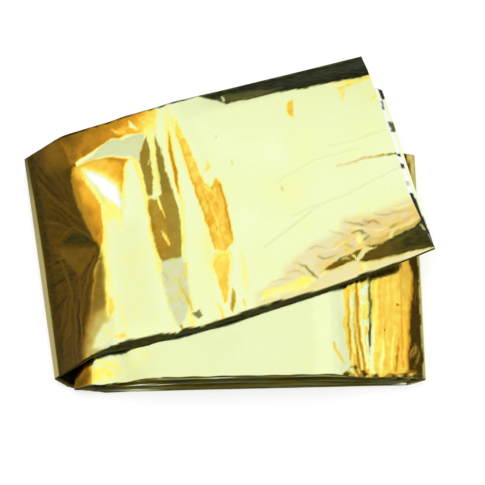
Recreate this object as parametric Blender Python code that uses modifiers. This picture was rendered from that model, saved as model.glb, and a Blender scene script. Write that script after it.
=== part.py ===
"""An emergency foil blanket, partly opened, as one sheet in one piece.

The metallised film is pleated into a strip about 102 mm wide. The strip is folded flat, panel inside
panel, into a packet, and the outermost panel comes out below the packet's left end, turns up over it
on a slanted crease and lies across the top. Metres, +Z up: the packet's long side lies along X, its
front edge faces -Y, and the bottom panel rests on Z = 0.
"""

import math
from typing import NamedTuple

import bpy
import numpy as np
from mathutils import Matrix

MM = 0.001

# Sizes and places are in millimetres, from the middle of the packet's footprint.
BED_THICKNESS = 1.2  # the bottom panel, which lies flat
THIN = 1.0  # the strip where the packet is squeezed
GAP = 0.35  # air left between panels
FULLNESS = 0.8  # how much of a wider pitch the springy film fills
FLAP_THICKNESS = 2.4
THICKEST = 3.0  # what a vertex weight of 1 stands for

TIGHT_PITCH = THIN + 0.5  # from panel to panel at the packet's ends
LOOSE_PITCH = 2.85  # from panel to panel where the packet is fullest
SWELL_START = -60.0  # along X: the packet thickens from here
SWELL_FULL = -38.0
SAG_START = 33.0  # and thins again from here
SAG_END = 51.0
WAVE = 0.05  # share by which the loose pitch rises and falls over the packet
WAVE_LENGTH = 88.0

NOSE = TIGHT_PITCH  # height of the blunt nose at a fold's outermost line
NOSE_RADIUS = 0.6  # of the nose's two corners
SHOULDER = 4.0  # radius where a panel bends towards its fold
NOSE_STEPS = 2
SHOULDER_STEPS = 3
ROOM = 0.49  # most of the shorter side of a corner that its arc may take

RUN_STATIONS = (-58.0, -52.0, -45.0, -38.0, -22.0, -5.0, 12.0, 30.0, 36.0, 42.0, 48.0, 54.0)
STATION_MARGIN = 2.0
WIDTH_STATIONS = 13


class Panel(NamedTuple):
    """One pass of the strip across the packet, and the fold at its far end."""

    level: int  # panels below it
    start: float  # along X, where it leaves the fold before it
    end: float  # along X, where it bends into its own fold
    front: float  # its long edges, along Y
    back: float
    fold_x: float  # the outermost line of its fold
    fold_z: float


PANELS = (
    #     level start   end  front   back  fold_x fold_z
    Panel(3, -50.0, 58.0, -49.6, 50.6, 63.0, 4.35),
    Panel(2, 58.0, -55.0, -50.6, 51.4, -61.0, 4.9),
    Panel(4, -55.0, 63.0, -49.8, 51.8, 69.0, 4.7),
    Panel(1, 63.0, -66.0, -51.4, 50.4, -74.8, 3.4),
    Panel(5, -66.0, 66.0, -50.6, 52.6, 75.0, 6.2),
)
BED = Panel(0, 68.5, -70.0, -51.6, 52.2, -76.0, BED_THICKNESS / 2)
BED_FRONT_LEFT = -50.0  # the bottom panel's front edge draws back as it leaves the packet


class Across(NamedTuple):
    """Two ends, at the strip's front and back edge, of a straight line across the strip."""

    front: tuple[float, float]
    back: tuple[float, float]


CREASE = Across((-83.0, -46.7), (-96.4, 55.2))
FLAP_END = Across((81.2, 3.8), (57.0, 98.7))
CREASE_HEIGHT = 4.6
FLAP_HEIGHT = 17.9  # middle of the flap where it lies on the packet


class Crest(NamedTuple):
    """How far from the crease the slope meets the flap's flat top."""

    across: float  # -1 at the strip's front edge, 1 at its back edge
    reach: float


CREST = (Crest(-1.0, 15.5), Crest(-0.5, 21.0), Crest(0.0, 26.5), Crest(0.5, 21.5), Crest(1.0, 17.5))
CREST_RADIUS = 5.0
BUCKLED_STATIONS = (0.18, 0.215, 0.25, 0.285, 0.32, 0.355, 0.39, 0.43)  # closer, where the flap buckles
FLAP_STATIONS = (0.07, 0.13, *BUCKLED_STATIONS, 0.48, 0.55, 0.62, 0.7, 0.78, 0.85, 0.92, 1.0)


class Buckle(NamedTuple):
    """A soft ridge, or a trough where the rise is negative, that runs across the flap."""

    along_front: float  # where it crosses the strip's front edge, as a share of the flap's length
    along_back: float
    half_width: float
    rise: float


BUCKLES = (
    Buckle(0.27, 0.20, 0.045, 0.7),
    Buckle(0.33, 0.29, 0.045, -0.3),
    Buckle(0.40, 0.36, 0.05, 0.6),
)

PACKET_BACK = 53.0  # behind this line the flap has nothing under it
DROOP = 0.0034  # fall per millimetre of overhang squared
CURL_DEPTH = 3.0  # how far the flap's back edge rolls down
CURL_ACROSS = 0.8  # the roll starts here across the strip
CURL_ALONG = (0.3, 0.6)  # and grows between these shares of the flap's length
LIFT = 1.2  # the flap's free front corner stands a little proud
LIFT_ALONG = (0.5, 1.0)


def smooth(value, low, high):
    """Rises from 0 at low to 1 at high with level ends."""
    share = min(max((value - low) / (high - low), 0.0), 1.0)
    return share * share * (3.0 - 2.0 * share)


def between(pair, across):
    """The point of a pair of numbers or points at -1 (first) to 1 (second)."""
    share = (across + 1.0) / 2.0
    return np.asarray(pair[0]) * (1.0 - share) + np.asarray(pair[1]) * share


def pitch(x, y):
    """Height from one panel to the next."""
    swell = smooth(x, SWELL_START, SWELL_FULL) - smooth(x, SAG_START, SAG_END)
    wave = 1.0 + WAVE * math.sin(2.0 * math.pi * (x + 0.8 * y) / WAVE_LENGTH)
    return TIGHT_PITCH + (LOOSE_PITCH - TIGHT_PITCH) * swell * wave


def height(level, x, y):
    return BED_THICKNESS / 2.0 + level * pitch(x, y)


def thickness(level, x, y):
    return BED_THICKNESS if level == 0 else max(THIN, FULLNESS * pitch(x, y) - GAP)


class Corner(NamedTuple):
    """A corner of the section, rounded to a radius by so many steps, and the strip's thickness there."""

    point: np.ndarray
    radius: float
    steps: int
    thick: float


def station(point, thick):
    """A point that the strip passes through without a bend of its own."""
    return Corner(np.asarray(point, float), 0.0, 0, thick)


def bend(point, thick, radius=SHOULDER):
    return Corner(np.asarray(point, float), radius, SHOULDER_STEPS, thick)


def nose(point, upward):
    """The two corners at a fold's outermost line, in the order in which the strip passes them."""
    corners = []
    for end in (-upward, upward):
        place = np.array([point[0], point[1], point[2] + end * NOSE / 2.0])
        corners.append(Corner(place, NOSE_RADIUS, NOSE_STEPS, THIN))
    return corners


def panel_corners(panel, after, across):
    """One pass of the strip: out of the last fold, across the packet and into its own fold."""
    side = 1.0 if panel.end > panel.start else -1.0
    y = float(between((panel.front, panel.back), across))
    fold_y = float(between(((panel.front + after.front) / 2, (panel.back + after.back) / 2), across))
    inside = [x for x in RUN_STATIONS if side * (x - panel.start) > STATION_MARGIN]
    inside = [x for x in inside if side * (panel.end - x) > STATION_MARGIN]
    corners = []
    for x in (panel.start, *sorted(inside, reverse=side < 0), panel.end):
        make = bend if x in (panel.start, panel.end) else station
        corners.append(make((x, y, height(panel.level, x, y)), thickness(panel.level, x, y)))
    upward = 1.0 if after.level > panel.level else -1.0
    return corners + nose((panel.fold_x, fold_y, panel.fold_z), upward)


def bed_corners(across):
    """The bottom panel, flat on the ground from the packet's right fold to just past its left end."""
    y = float(between((BED.front, BED.back), across))
    left_y = float(between((BED_FRONT_LEFT, BED.back), across))
    corners = [bend((BED.start, y, BED.fold_z), BED_THICKNESS)]
    for x in sorted(RUN_STATIONS, reverse=True):
        corners.append(station((x, y, BED.fold_z), BED_THICKNESS))
    corners.append(station((BED.end, left_y, BED.fold_z), BED_THICKNESS))
    corners.append(bend((BED.fold_x, left_y, BED.fold_z), BED_THICKNESS))
    return corners


def flap_z(x, y, across, along):
    """Middle of the flap: flat on the packet, drooping behind it, rolled down at its back edge."""
    overhang = max(0.0, y - PACKET_BACK)
    curl = smooth(across, CURL_ACROSS, 1.0) * smooth(along, *CURL_ALONG)
    lift = smooth(along, *LIFT_ALONG) * smooth(-across, 0.0, 1.0)
    buckled = 0.0
    for buckle in BUCKLES:
        away = along - float(between((buckle.along_front, buckle.along_back), across))
        buckled += buckle.rise * (1.0 - smooth(abs(away), 0.0, buckle.half_width))
    return FLAP_HEIGHT - DROOP * overhang**2 - CURL_DEPTH * curl + LIFT * lift + buckled


def flap_corners(across):
    """From the crease up the slope, over the crest and along the flap to its free end."""
    crease = between(CREASE, across)
    end = between(FLAP_END, across)
    way = (end - crease) / np.linalg.norm(end - crease)
    reach = np.interp(across, [row.across for row in CREST], [row.reach for row in CREST])
    crest = crease + way * reach
    corners = nose((*crease, CREASE_HEIGHT), 1.0)
    foot = corners[-1].point
    top = np.append(crest, flap_z(*crest, across, 0.0))
    corners.append(station((foot + top) / 2.0, (THIN + FLAP_THICKNESS) / 2.0))
    corners.append(bend(top, FLAP_THICKNESS, CREST_RADIUS))
    for along in FLAP_STATIONS:
        x, y = crest + (end - crest) * along
        corners.append(station((x, y, flap_z(x, y, across, along)), FLAP_THICKNESS))
    return corners


def rounded(corners):
    """The section's points and thicknesses, with an arc at each corner that has a radius."""
    points, thick = [], []
    for i, corner in enumerate(corners):
        if not corner.radius or i in (0, len(corners) - 1):
            points.append(corner.point)
            thick.append(corner.thick)
            continue
        back = corners[i - 1].point - corner.point
        ahead = corners[i + 1].point - corner.point
        room = ROOM * min(np.linalg.norm(back), np.linalg.norm(ahead))
        back, ahead = back / np.linalg.norm(back), ahead / np.linalg.norm(ahead)
        half = math.acos(float(np.clip(back @ ahead, -1.0, 1.0))) / 2.0
        reach = min(corner.radius / math.tan(half), room)
        inward = (back + ahead) / np.linalg.norm(back + ahead)
        onward = (ahead - back) / np.linalg.norm(ahead - back)
        centre = corner.point + inward * reach / math.cos(half)
        turn = math.pi - 2.0 * half
        for step in range(corner.steps + 1):
            angle = turn * (step / corner.steps - 0.5)
            arm = onward * math.sin(angle) - inward * math.cos(angle)
            points.append(centre + arm * reach * math.tan(half))
            thick.append(corner.thick)
    return points, thick


def strip():
    """The strip's middle surface as a grid of points, section by section across its width."""
    grid, thick = [], []
    for across in np.linspace(-1.0, 1.0, WIDTH_STATIONS):
        corners = []
        for panel, after in zip(PANELS, (*PANELS[1:], BED)):
            corners += panel_corners(panel, after, across)
        corners += bed_corners(across) + flap_corners(across)
        row, row_thick = rounded(corners)
        grid.append(row)
        thick.append(row_thick)
    return np.array(grid), np.array(thick)


def clear_scene():
    for old in list(bpy.data.objects):
        bpy.data.objects.remove(old, do_unlink=True)


def gold_film():
    """Gold metallised polyester film."""
    material = bpy.data.materials.new("gold metallised film")
    material.use_nodes = True
    shader = material.node_tree.nodes["Principled BSDF"]
    shader.inputs["Base Color"].default_value = (0.86, 0.66, 0.20, 1.0)
    shader.inputs["Metallic"].default_value = 1.0
    shader.inputs["Roughness"].default_value = 0.16
    return material


def loft(name, grid, collection):
    """A smooth open surface through a grid of points."""
    rows, columns = grid.shape[:2]
    faces = []
    for row in range(rows - 1):
        for column in range(columns - 1):
            corner = row * columns + column
            faces.append((corner, corner + 1, corner + columns + 1, corner + columns))
    mesh = bpy.data.meshes.new(name)
    mesh.from_pydata(grid.reshape(-1, 3).tolist(), [], faces)
    mesh.shade_smooth()
    piece = bpy.data.objects.new(name, mesh)
    collection.objects.link(piece)
    return piece


def thicken(piece, thick):
    """Solidify, with the strip's thickness at each point as a vertex weight."""
    group = piece.vertex_groups.new(name="thickness")
    for index, value in enumerate(thick.reshape(-1)):
        group.add([index], float(value) / THICKEST, "REPLACE")
    wall = piece.modifiers.new("film thickness", "SOLIDIFY")
    wall.thickness = THICKEST * MM
    wall.offset = 0.0
    wall.use_even_offset = True
    wall.vertex_group = group.name
    wall.thickness_vertex_group = 0.0


def put_origin_under_middle(piece):
    """Slides the sheet along the ground until the origin lies under the middle of its thickened shape."""
    shape = piece.evaluated_get(bpy.context.evaluated_depsgraph_get())
    box = np.array([corner[:] for corner in shape.bound_box])
    middle = (box.min(axis=0) + box.max(axis=0)) / 2.0
    piece.data.transform(Matrix.Translation((-middle[0], -middle[1], 0.0)))


def main():
    clear_scene()
    collection = bpy.data.collections.new("Emergency foil blanket")
    bpy.context.scene.collection.children.link(collection)
    grid, thick = strip()
    blanket = loft("foil_blanket", grid * MM, collection)
    thicken(blanket, thick)
    put_origin_under_middle(blanket)
    blanket.data.materials.append(gold_film())


main()
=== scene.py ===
"""Looks of an emergency foil blanket, partly opened.

Gold metallised film, silver on its inner side, is pleated into a strip of four plies and folded flat
into a packet. The strip's last panel leaves the packet below its left end, turns up over it on a
slanted crease and lies across the top. Sizes are in millimetres from the middle of the packet's
footprint, as in the solid's own design, until the mesh is made.
"""

import math
from typing import NamedTuple

import bpy
import numpy as np
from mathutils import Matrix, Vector


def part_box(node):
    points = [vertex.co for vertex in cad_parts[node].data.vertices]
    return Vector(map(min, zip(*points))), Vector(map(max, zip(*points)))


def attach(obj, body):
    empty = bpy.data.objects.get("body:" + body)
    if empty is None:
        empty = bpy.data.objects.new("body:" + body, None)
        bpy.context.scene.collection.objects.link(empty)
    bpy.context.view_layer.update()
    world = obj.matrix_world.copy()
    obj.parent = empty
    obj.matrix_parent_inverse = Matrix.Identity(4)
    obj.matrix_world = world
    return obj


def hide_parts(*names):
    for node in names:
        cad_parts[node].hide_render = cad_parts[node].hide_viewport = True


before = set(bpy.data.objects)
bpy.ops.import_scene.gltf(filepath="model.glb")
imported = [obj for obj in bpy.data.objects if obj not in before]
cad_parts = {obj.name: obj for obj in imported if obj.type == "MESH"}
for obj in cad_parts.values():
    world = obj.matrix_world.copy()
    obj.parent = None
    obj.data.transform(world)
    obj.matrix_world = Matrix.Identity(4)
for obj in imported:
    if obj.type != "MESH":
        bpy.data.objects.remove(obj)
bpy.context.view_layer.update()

MM = 0.001

# ---------------------------------------------------------------- the solid's path through the packet

BED_THICKNESS = 1.2
THIN = 1.0
GAP = 0.35
FULLNESS = 0.8
FLAP_THICKNESS = 2.4
TIGHT_PITCH = THIN + 0.5
LOOSE_PITCH = 2.85
SWELL_START = -60.0
SWELL_FULL = -38.0
SAG_START = 33.0
SAG_END = 51.0
WAVE = 0.05
WAVE_LENGTH = 88.0
WAVE_SLANT = 0.8  # how far the wave shifts for each millimetre towards the back
NOSE = TIGHT_PITCH
NOSE_RADIUS = 0.6
SHOULDER = 4.0
SHOULDER_STEPS = 6
NOSE_STEPS = 4
CREST_STEPS = 10
ROOM = 0.49  # most of the shorter side of a corner that its arc may take


class Panel(NamedTuple):
    """One pass of the strip across the packet, and the fold at its far end."""

    level: int
    start: float
    end: float
    front: float
    back: float
    fold_x: float
    fold_z: float
    place: str = "inner"


PANELS = (
    #     level start   end  front   back  fold_x fold_z
    Panel(3, -50.0, 58.0, -49.6, 50.6, 63.0, 4.35),
    Panel(2, 58.0, -55.0, -50.6, 51.4, -61.0, 4.9),
    Panel(4, -55.0, 63.0, -49.8, 51.8, 69.0, 4.7),
    Panel(1, 63.0, -66.0, -51.4, 50.4, -74.8, 3.4),
    Panel(5, -66.0, 66.0, -50.6, 52.6, 75.0, 6.2, "top"),
)
BED = Panel(0, 68.5, -70.0, -51.6, 52.2, -76.0, BED_THICKNESS / 2, "bed")
BED_FRONT_LEFT = -50.0
SHOULDER_ROOM = 8.0  # a panel's stretch next to its folds, which is straight
RUN_SPACING = {"inner": 9.0, "top": 2.8, "bed": 14.0}  # between a panel's stations

# Most that two stations of the film may lie apart, by the part of the path.
SPACING = {
    "inner": 14.0, "inner fold": 2.0, "top": 2.8, "top left": 1.2, "top right": 0.7, "top fold": 0.8,
    "bed": 14.0, "crease": 2.0, "slope": 0.6, "flap": 1.0,
}
TOP_LEFT = -48.0  # the packet's top is finer left of this and right of TOP_RIGHT
TOP_RIGHT = 35.0


class Across(NamedTuple):
    """Two ends, at the strip's front and back edge, of a straight line across the strip."""

    front: tuple[float, float]
    back: tuple[float, float]


CREASE = Across((-83.0, -46.7), (-96.4, 55.2))
FLAP_END = Across((81.2, 3.8), (57.0, 98.7))
CREASE_HEIGHT = 4.6
FLAP_HEIGHT = 17.9
CREST_ACROSS = (-1.0, -0.5, 0.0, 0.5, 1.0)
CREST_REACH = (15.5, 21.0, 26.5, 21.5, 17.5)  # from the crease to the flap's flat top
CREST_ROUND_ACROSS = (-1.0, -0.6, 0.0, 0.3, 0.6, 1.0)
CREST_RADIUS = (8.0, 14.0, 10.0, 22.0, 30.0, 16.0)
CREST_ROOM = 0.06  # share of the flap's length before its first station
FLAP_STATIONS = 226

PACKET_BACK = 53.0
DROOP = 0.0034
CURL_DEPTH = 3.0
CURL_ACROSS = 0.8
CURL_ALONG = (0.3, 0.6)
LIFT = 1.2
LIFT_ALONG = (0.5, 1.0)
BUCKLES = (
    # along_front, along_back, half_width, rise
    (0.27, 0.20, 0.045, 0.7),
    (0.33, 0.29, 0.045, -0.3),
    (0.40, 0.36, 0.05, 0.6),
)


def smooth(value, low, high):
    """Rises from 0 at low to 1 at high with level ends."""
    share = np.clip((value - low) / (high - low), 0.0, 1.0)
    return share * share * (3.0 - 2.0 * share)


def between(pair, across):
    """The number or point of a pair at -1 (first) to 1 (second), for each across value."""
    share = (np.asarray(across) + 1.0) / 2.0
    first, second = np.asarray(pair[0], float), np.asarray(pair[1], float)
    if first.ndim:
        share = share[..., None]
    return first * (1.0 - share) + second * share


def pitch(x, y):
    swell = smooth(x, SWELL_START, SWELL_FULL) - smooth(x, SAG_START, SAG_END)
    wave = 1.0 + WAVE * np.sin(2.0 * math.pi * (x + WAVE_SLANT * y) / WAVE_LENGTH)
    return TIGHT_PITCH + (LOOSE_PITCH - TIGHT_PITCH) * swell * wave


def height(level, x, y):
    return BED_THICKNESS / 2.0 + level * pitch(x, y)


def thickness(level, x, y):
    return np.full_like(y, BED_THICKNESS) if level == 0 else np.maximum(THIN, FULLNESS * pitch(x, y) - GAP)


class Corner(NamedTuple):
    """A corner of the section at every across value, rounded to a radius by so many steps."""

    point: np.ndarray
    thick: np.ndarray
    place: str
    along: float
    radius: float | np.ndarray
    steps: int  # none where the path runs straight through
    level: int  # of the panel that the corner is on or folds from


def corner(x, y, z, thick, place, along=0.0, radius=0.0, steps=0, level=0):
    x, y, z, thick = np.broadcast_arrays(x, y, z, thick)
    point = np.stack([x, y, z], -1).astype(float)
    return Corner(point, thick.astype(float), place, along, radius, steps, level)


def nose(point, upward, place, level=0):
    """The two corners at a fold's outermost line, in the order in which the strip passes them."""
    x, y, z = point
    return [
        corner(x, y, z + end * NOSE / 2.0, THIN, place, radius=NOSE_RADIUS, steps=NOSE_STEPS, level=level)
        for end in (-upward, upward)
    ]


def run(panel):
    """Stations along X between the two shoulders of a panel."""
    side = math.copysign(SHOULDER_ROOM, panel.end - panel.start)
    count = round(abs(panel.end - panel.start - 2.0 * side) / RUN_SPACING[panel.place])
    return np.linspace(panel.start + side, panel.end - side, count + 1)


def panel_corners(panel, after, across):
    """One pass of the strip: out of the last fold, across the packet and into its own fold."""
    y = between((panel.front, panel.back), across)
    fold_y = between(((panel.front + after.front) / 2, (panel.back + after.back) / 2), across)
    corners = []
    for x in (panel.start, *run(panel), panel.end):
        z, thick = height(panel.level, x, y), thickness(panel.level, x, y)
        steps = SHOULDER_STEPS if x in (panel.start, panel.end) else 0
        place = panel.place
        if place == "top" and not TOP_LEFT <= x <= TOP_RIGHT:
            place = "top left" if x < TOP_LEFT else "top right"
        corners.append(corner(x, y, z, thick, place, radius=SHOULDER, steps=steps, level=panel.level))
    upward = 1.0 if after.level > panel.level else -1.0
    fold = "top fold" if "top" in (panel.place, after.place) else "inner fold"
    return corners + nose((panel.fold_x, fold_y, panel.fold_z), upward, fold, panel.level)


def bed_corners(across):
    """The bottom panel, flat on the ground from the packet's right fold to just past its left end."""
    y = between((BED.front, BED.back), across)
    left_y = between((BED_FRONT_LEFT, BED.back), across)
    shoulder = {"radius": SHOULDER, "steps": SHOULDER_STEPS}
    corners = [corner(BED.start, y, BED.fold_z, BED_THICKNESS, "bed", **shoulder)]
    corners += [corner(x, y, BED.fold_z, BED_THICKNESS, "bed") for x in run(BED)]
    corners.append(corner(BED.end, left_y, BED.fold_z, BED_THICKNESS, "bed"))
    corners.append(corner(BED.fold_x, left_y, BED.fold_z, BED_THICKNESS, "bed", **shoulder))
    return corners


def flap_z(x, y, across, along):
    """Middle of the flap: flat on the packet, drooping behind it, rolled down at its back edge."""
    overhang = np.maximum(0.0, y - PACKET_BACK)
    curl = smooth(across, CURL_ACROSS, 1.0) * smooth(along, *CURL_ALONG)
    lift = smooth(along, *LIFT_ALONG) * smooth(-across, 0.0, 1.0)
    buckled = 0.0
    for along_front, along_back, half_width, rise in BUCKLES:
        away = along - between((along_front, along_back), across)
        buckled = buckled + rise * (1.0 - smooth(np.abs(away), 0.0, half_width))
    return FLAP_HEIGHT - DROOP * overhang**2 - CURL_DEPTH * curl + LIFT * lift + buckled


def flap_corners(across):
    """From the crease up the slope, over the crest and along the flap to its free end."""
    crease = between(CREASE, across)
    end = between(FLAP_END, across)
    way = (end - crease) / np.linalg.norm(end - crease, axis=-1)[:, None]
    crest = crease + way * np.interp(across, CREST_ACROSS, CREST_REACH)[:, None]
    corners = nose((crease[:, 0], crease[:, 1], CREASE_HEIGHT), 1.0, "crease")
    top = np.column_stack([crest, flap_z(crest[:, 0], crest[:, 1], across, 0.0)])
    middle = (corners[-1].point + top) / 2.0
    corners.append(corner(*middle.T, (THIN + FLAP_THICKNESS) / 2.0, "slope"))
    radius = np.interp(across, CREST_ROUND_ACROSS, CREST_RADIUS)
    corners.append(corner(*top.T, FLAP_THICKNESS, "flap", radius=radius, steps=CREST_STEPS))
    for along in np.linspace(CREST_ROOM, 1.0, FLAP_STATIONS + 1):
        x, y = (crest + (end - crest) * along).T
        corners.append(corner(x, y, flap_z(x, y, across, along), FLAP_THICKNESS, "flap", along))
    return corners


def rounded(corners):
    """Every station of the path, with an arc of stations at each corner that has a radius."""
    stations = []
    for i, here in enumerate(corners):
        if not here.steps or i in (0, len(corners) - 1):
            stations.append(here)
            continue
        back = corners[i - 1].point - here.point
        ahead = corners[i + 1].point - here.point
        back_length = np.linalg.norm(back, axis=-1)
        ahead_length = np.linalg.norm(ahead, axis=-1)
        room = ROOM * np.minimum(back_length, ahead_length)
        back, ahead = back / back_length[:, None], ahead / ahead_length[:, None]
        half = np.arccos(np.clip((back * ahead).sum(-1), -1.0, 1.0)) / 2.0
        reach = np.minimum(here.radius / np.tan(half), room)
        inward = (back + ahead) / np.linalg.norm(back + ahead, axis=-1)[:, None]
        onward = (ahead - back) / np.linalg.norm(ahead - back, axis=-1)[:, None]
        centre = here.point + inward * (reach / np.cos(half))[:, None]
        radius = (reach * np.tan(half))[:, None]
        for step in range(here.steps + 1):
            angle = ((math.pi - 2.0 * half) * (step / here.steps - 0.5))[:, None]
            arm = onward * np.sin(angle) - inward * np.cos(angle)
            stations.append(here._replace(point=centre + arm * radius))
    return stations


def finer(stations):
    """The stations with more between them, so that none lie further apart than SPACING says."""
    dense = []
    for here, after in zip(stations, stations[1:]):
        dense.append(here)
        owner = here if here.steps == 0 else after
        length = np.linalg.norm(after.point - here.point, axis=-1).max()
        parts = math.ceil(length / SPACING[owner.place])
        for share in np.arange(1, parts) / parts:
            dense.append(
                owner._replace(
                    point=here.point + (after.point - here.point) * share,
                    thick=here.thick + (after.thick - here.thick) * share,
                    along=here.along + (after.along - here.along) * share,
                )
            )
    return dense + stations[-1:]


# ---------------------------------------------------------------- the pleated strip

PLIES = 4
OUTER = PLIES - 1  # the ply that shows on top of the packet and of the flap
PLY_FILL = 0.9  # share of the solid's thickness that the plies take up
POINTS_ACROSS = 169  # across each ply where the film is finest
SPARSE_ACROSS = (-1.0, -0.97, -0.85, -0.5, -0.05, 0.3, 0.58, 0.66, 0.9, 0.97, 1.0)  # kept on every ply
BEND_STEPS = 4

FINE_PLACES = ("slope", "flap")
TOP_PLACES = ("top", "top left", "top right", "top fold")
TOP_SHOWN = ((-83.0, -0.8), (81.0, 0.18))  # the packet's top shows in front of these across values, by x
TOP_STEP = {"top": 4, "top left": 2, "top right": 1, "top fold": 2}  # keeps every so many columns there
TOP_BACK_STEP = 12
HIDDEN_STEP = 24
END_ALONG = 0.955  # from here the plies under the flap's outer one come into sight at its free end


def outline(across):
    """The strip's cross-section: an accordion of plies joined at the long edges.

    For each of its points: which across value it lies at, its ply counted from the inner one, with
    shares of a ply on the bends, and how far it bulges past the edge, in half ply gaps.
    """
    rows = []
    for ply in range(PLIES):
        towards_back = ply % 2 == 1
        order = range(len(across)) if towards_back else range(len(across) - 1, -1, -1)
        rows += [(index, ply, 0.0) for index in order]
        if ply == OUTER:
            continue
        edge = len(across) - 1 if towards_back else 0
        for step in range(1, BEND_STEPS):
            turn = math.pi * step / BEND_STEPS
            rows.append((edge, ply + (1.0 - math.cos(turn)) / 2.0, math.sin(turn)))
    index, ply, bulge = np.array(rows).T
    return index.astype(int), ply, bulge


def shown(place, along, x, across, index, ply):
    """Which points of the grid the mesh keeps: all where the film is seen, few where it is hidden."""
    sparse = [int(np.abs(across - value).argmin()) for value in SPARSE_ACROSS]
    always = np.isin(index, sparse) | (ply % 1.0 > 0.0)
    outer = ply == OUTER
    hidden = outer & (index % HIDDEN_STEP == 0)
    kept = np.empty((len(place), len(index)), bool)
    for row, name in enumerate(place):
        more = outer if name in FINE_PLACES else hidden
        if name in TOP_PLACES:
            front = across[index] < np.interp(x[row], *zip(*TOP_SHOWN))
            more = outer & (index % np.where(front, TOP_STEP[name], TOP_BACK_STEP) == 0)
        if name == "flap" and along[row] > END_ALONG:
            more = ply >= 1
        kept[row] = always | more
    return kept


class Film(NamedTuple):
    """The pleated strip's points, and the faces between them as lists of their numbers."""

    points: np.ndarray
    normals: np.ndarray
    across: np.ndarray
    ply: np.ndarray
    place: np.ndarray
    along: np.ndarray
    level: np.ndarray
    faces: list
    length: float

    def xy(self):
        return self.points[:, 0], self.points[:, 1]

    def on(self, *names, ply=None):
        """1 at the points at those places, on one ply or on all, and 0 elsewhere."""
        there = np.isin(self.place, names)
        return (there if ply is None else there & (self.ply == ply)).astype(float)


def grid_faces(kept):
    """Faces between the rows of the kept points. Where one row has more, its extra points join in."""
    number = np.full(kept.shape, -1)
    number[kept] = np.arange(kept.sum())
    faces = []
    for row in range(len(kept) - 1):
        here, after = number[row], number[row + 1]
        common = np.flatnonzero(kept[row] & kept[row + 1])
        if (kept[row] == kept[row + 1]).all():
            left, right = common[:-1], common[1:]
            faces += np.column_stack([here[left], after[left], after[right], here[right]]).tolist()
            continue
        for left, right in zip(common[:-1], common[1:]):
            far = after[left : right + 1]
            near = here[left : right + 1][::-1]
            faces.append([*far[far >= 0].tolist(), *near[near >= 0].tolist()])
    return faces


def make_film():
    """The film on the solid's path, before it is crumpled."""
    across = np.linspace(-1.0, 1.0, POINTS_ACROSS)
    corners = []
    for panel, after in zip(PANELS, (*PANELS[1:], BED)):
        corners += panel_corners(panel, after, across)
    stations = finer(rounded(corners + bed_corners(across) + flap_corners(across)))
    middle = np.array([station.point for station in stations])
    thick = np.array([station.thick for station in stations])
    normal = np.cross(np.gradient(middle, axis=0), np.gradient(middle, across, axis=1))
    normal /= np.linalg.norm(normal, axis=-1)[..., None]
    index, ply, bulge = outline(across)
    gap = thick[:, index] * PLY_FILL / OUTER
    points = middle[:, index] + normal[:, index] * ((ply - OUTER / 2.0) * gap)[..., None]
    points[..., 1] += np.sign(across[index]) * bulge * gap / 2.0
    place = np.array([station.place for station in stations])
    along = np.array([station.along for station in stations])
    level = np.array([station.level for station in stations])
    kept = shown(place, along, middle[:, :, 0].mean(axis=1), across, index, ply)
    row, column = np.nonzero(kept)
    length = np.linalg.norm(np.diff(middle[:, POINTS_ACROSS // 2], axis=0), axis=-1).sum()
    return Film(
        points[kept], normal[row, index[column]], across[index[column]], ply[column],
        place[row], along[row], level[row], grid_faces(kept), length,
    )


# ---------------------------------------------------------------- the strip's edges and free end

# How far the flap's long edges bulge past the solid's straight ones, as (x, bulge).
FRONT_BOW = (
    (-80, 0), (-70, -0.3), (-60, -0.7), (-50, 0.3), (-40, 1.4), (-30, 2.2), (-10, 2.9), (30, 2.8),
    (50, 2.3), (70, 1.0), (80, 0),
)
BACK_BOW = ((-85, 0), (-60, 0.5), (-40, 1.5), (-20, 2.2), (0, 2.3), (20, 1.9), (40, 1.7), (57, 1.8))

# The flap's front lip: where it turns down, as (x, y of the turn, how far its edge hangs).
LIP = (
    (-75, -45.0, 0.4), (-69, -42.0, 0.8), (-60, -38.0, 1.6), (-55, -35.8, 2.2), (-50, -34.5, 2.4),
    (-45, -33.3, 2.4), (-40, -32.4, 2.2), (-32, -32.0, 0.9), (-30, -32.2, 0.6), (-27.5, -30.2, 0.8),
    (-25, -29.8, 1.0), (-20, -29.0, 1.0), (-17, -27.8, 1.2), (-10, -26.0, 1.2), (-6, -24.6, 1.2),
    (0, -22.5, 1.3), (10, -19.5, 1.2), (20, -17.0, 1.0), (30, -14.0, 0.9), (40, -11.0, 0.9),
    (50, -7.5, 1.0), (60, -4.1, 1.0), (66, -2.2, 0.8), (73, 0.2, 0.4), (82, 3.4, 0.0),
)
LIP_START = -0.4  # the film starts to bend this far before the turn
LIP_WIDTH = 2.6

# How far short of the lowest ply's end each other ply ends, as (across, second, outer), and where
# all of them are cut back at the rolled corner.
END_STEPS = ((-1.0, 0.0, 0.0), (-0.85, 0.5, 1.3), (-0.45, 1.6, 3.3), (0.1, 1.5, 2.9), (1.0, 1.4, 3.4))
END_ROLL = (0.60, 0.65)
END_ROLL_INSET = 3.4
END_TAPER = 0.1  # share of the flap over which the plies shorten

# Where air lifts the packet's top in front of the flap, as rows of left, full from, full to, right,
# front, back and rise.
PUFFS = ((-76.5, -70.5, -52.0, -42.0, -51.0, -36.0, 3.0), (38.0, 48.0, 64.0, 74.0, -30.0, -4.0, 3.6))

EDGE_WOBBLE = 0.12  # unevenness of the plies' folded edges
EDGE_WOBBLE_LEFT = 0.36
WOBBLE_GROWS = (45.0, 62.0)  # from and to how far left of the middle it grows
WOBBLE_LENGTH = 16.0
WOBBLE_ROWS = (9.0, 23.0)  # how far apart the edges lie in the waves, by ply and by panel
WOBBLE_ACROSS = 0.9  # where it starts to show

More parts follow.
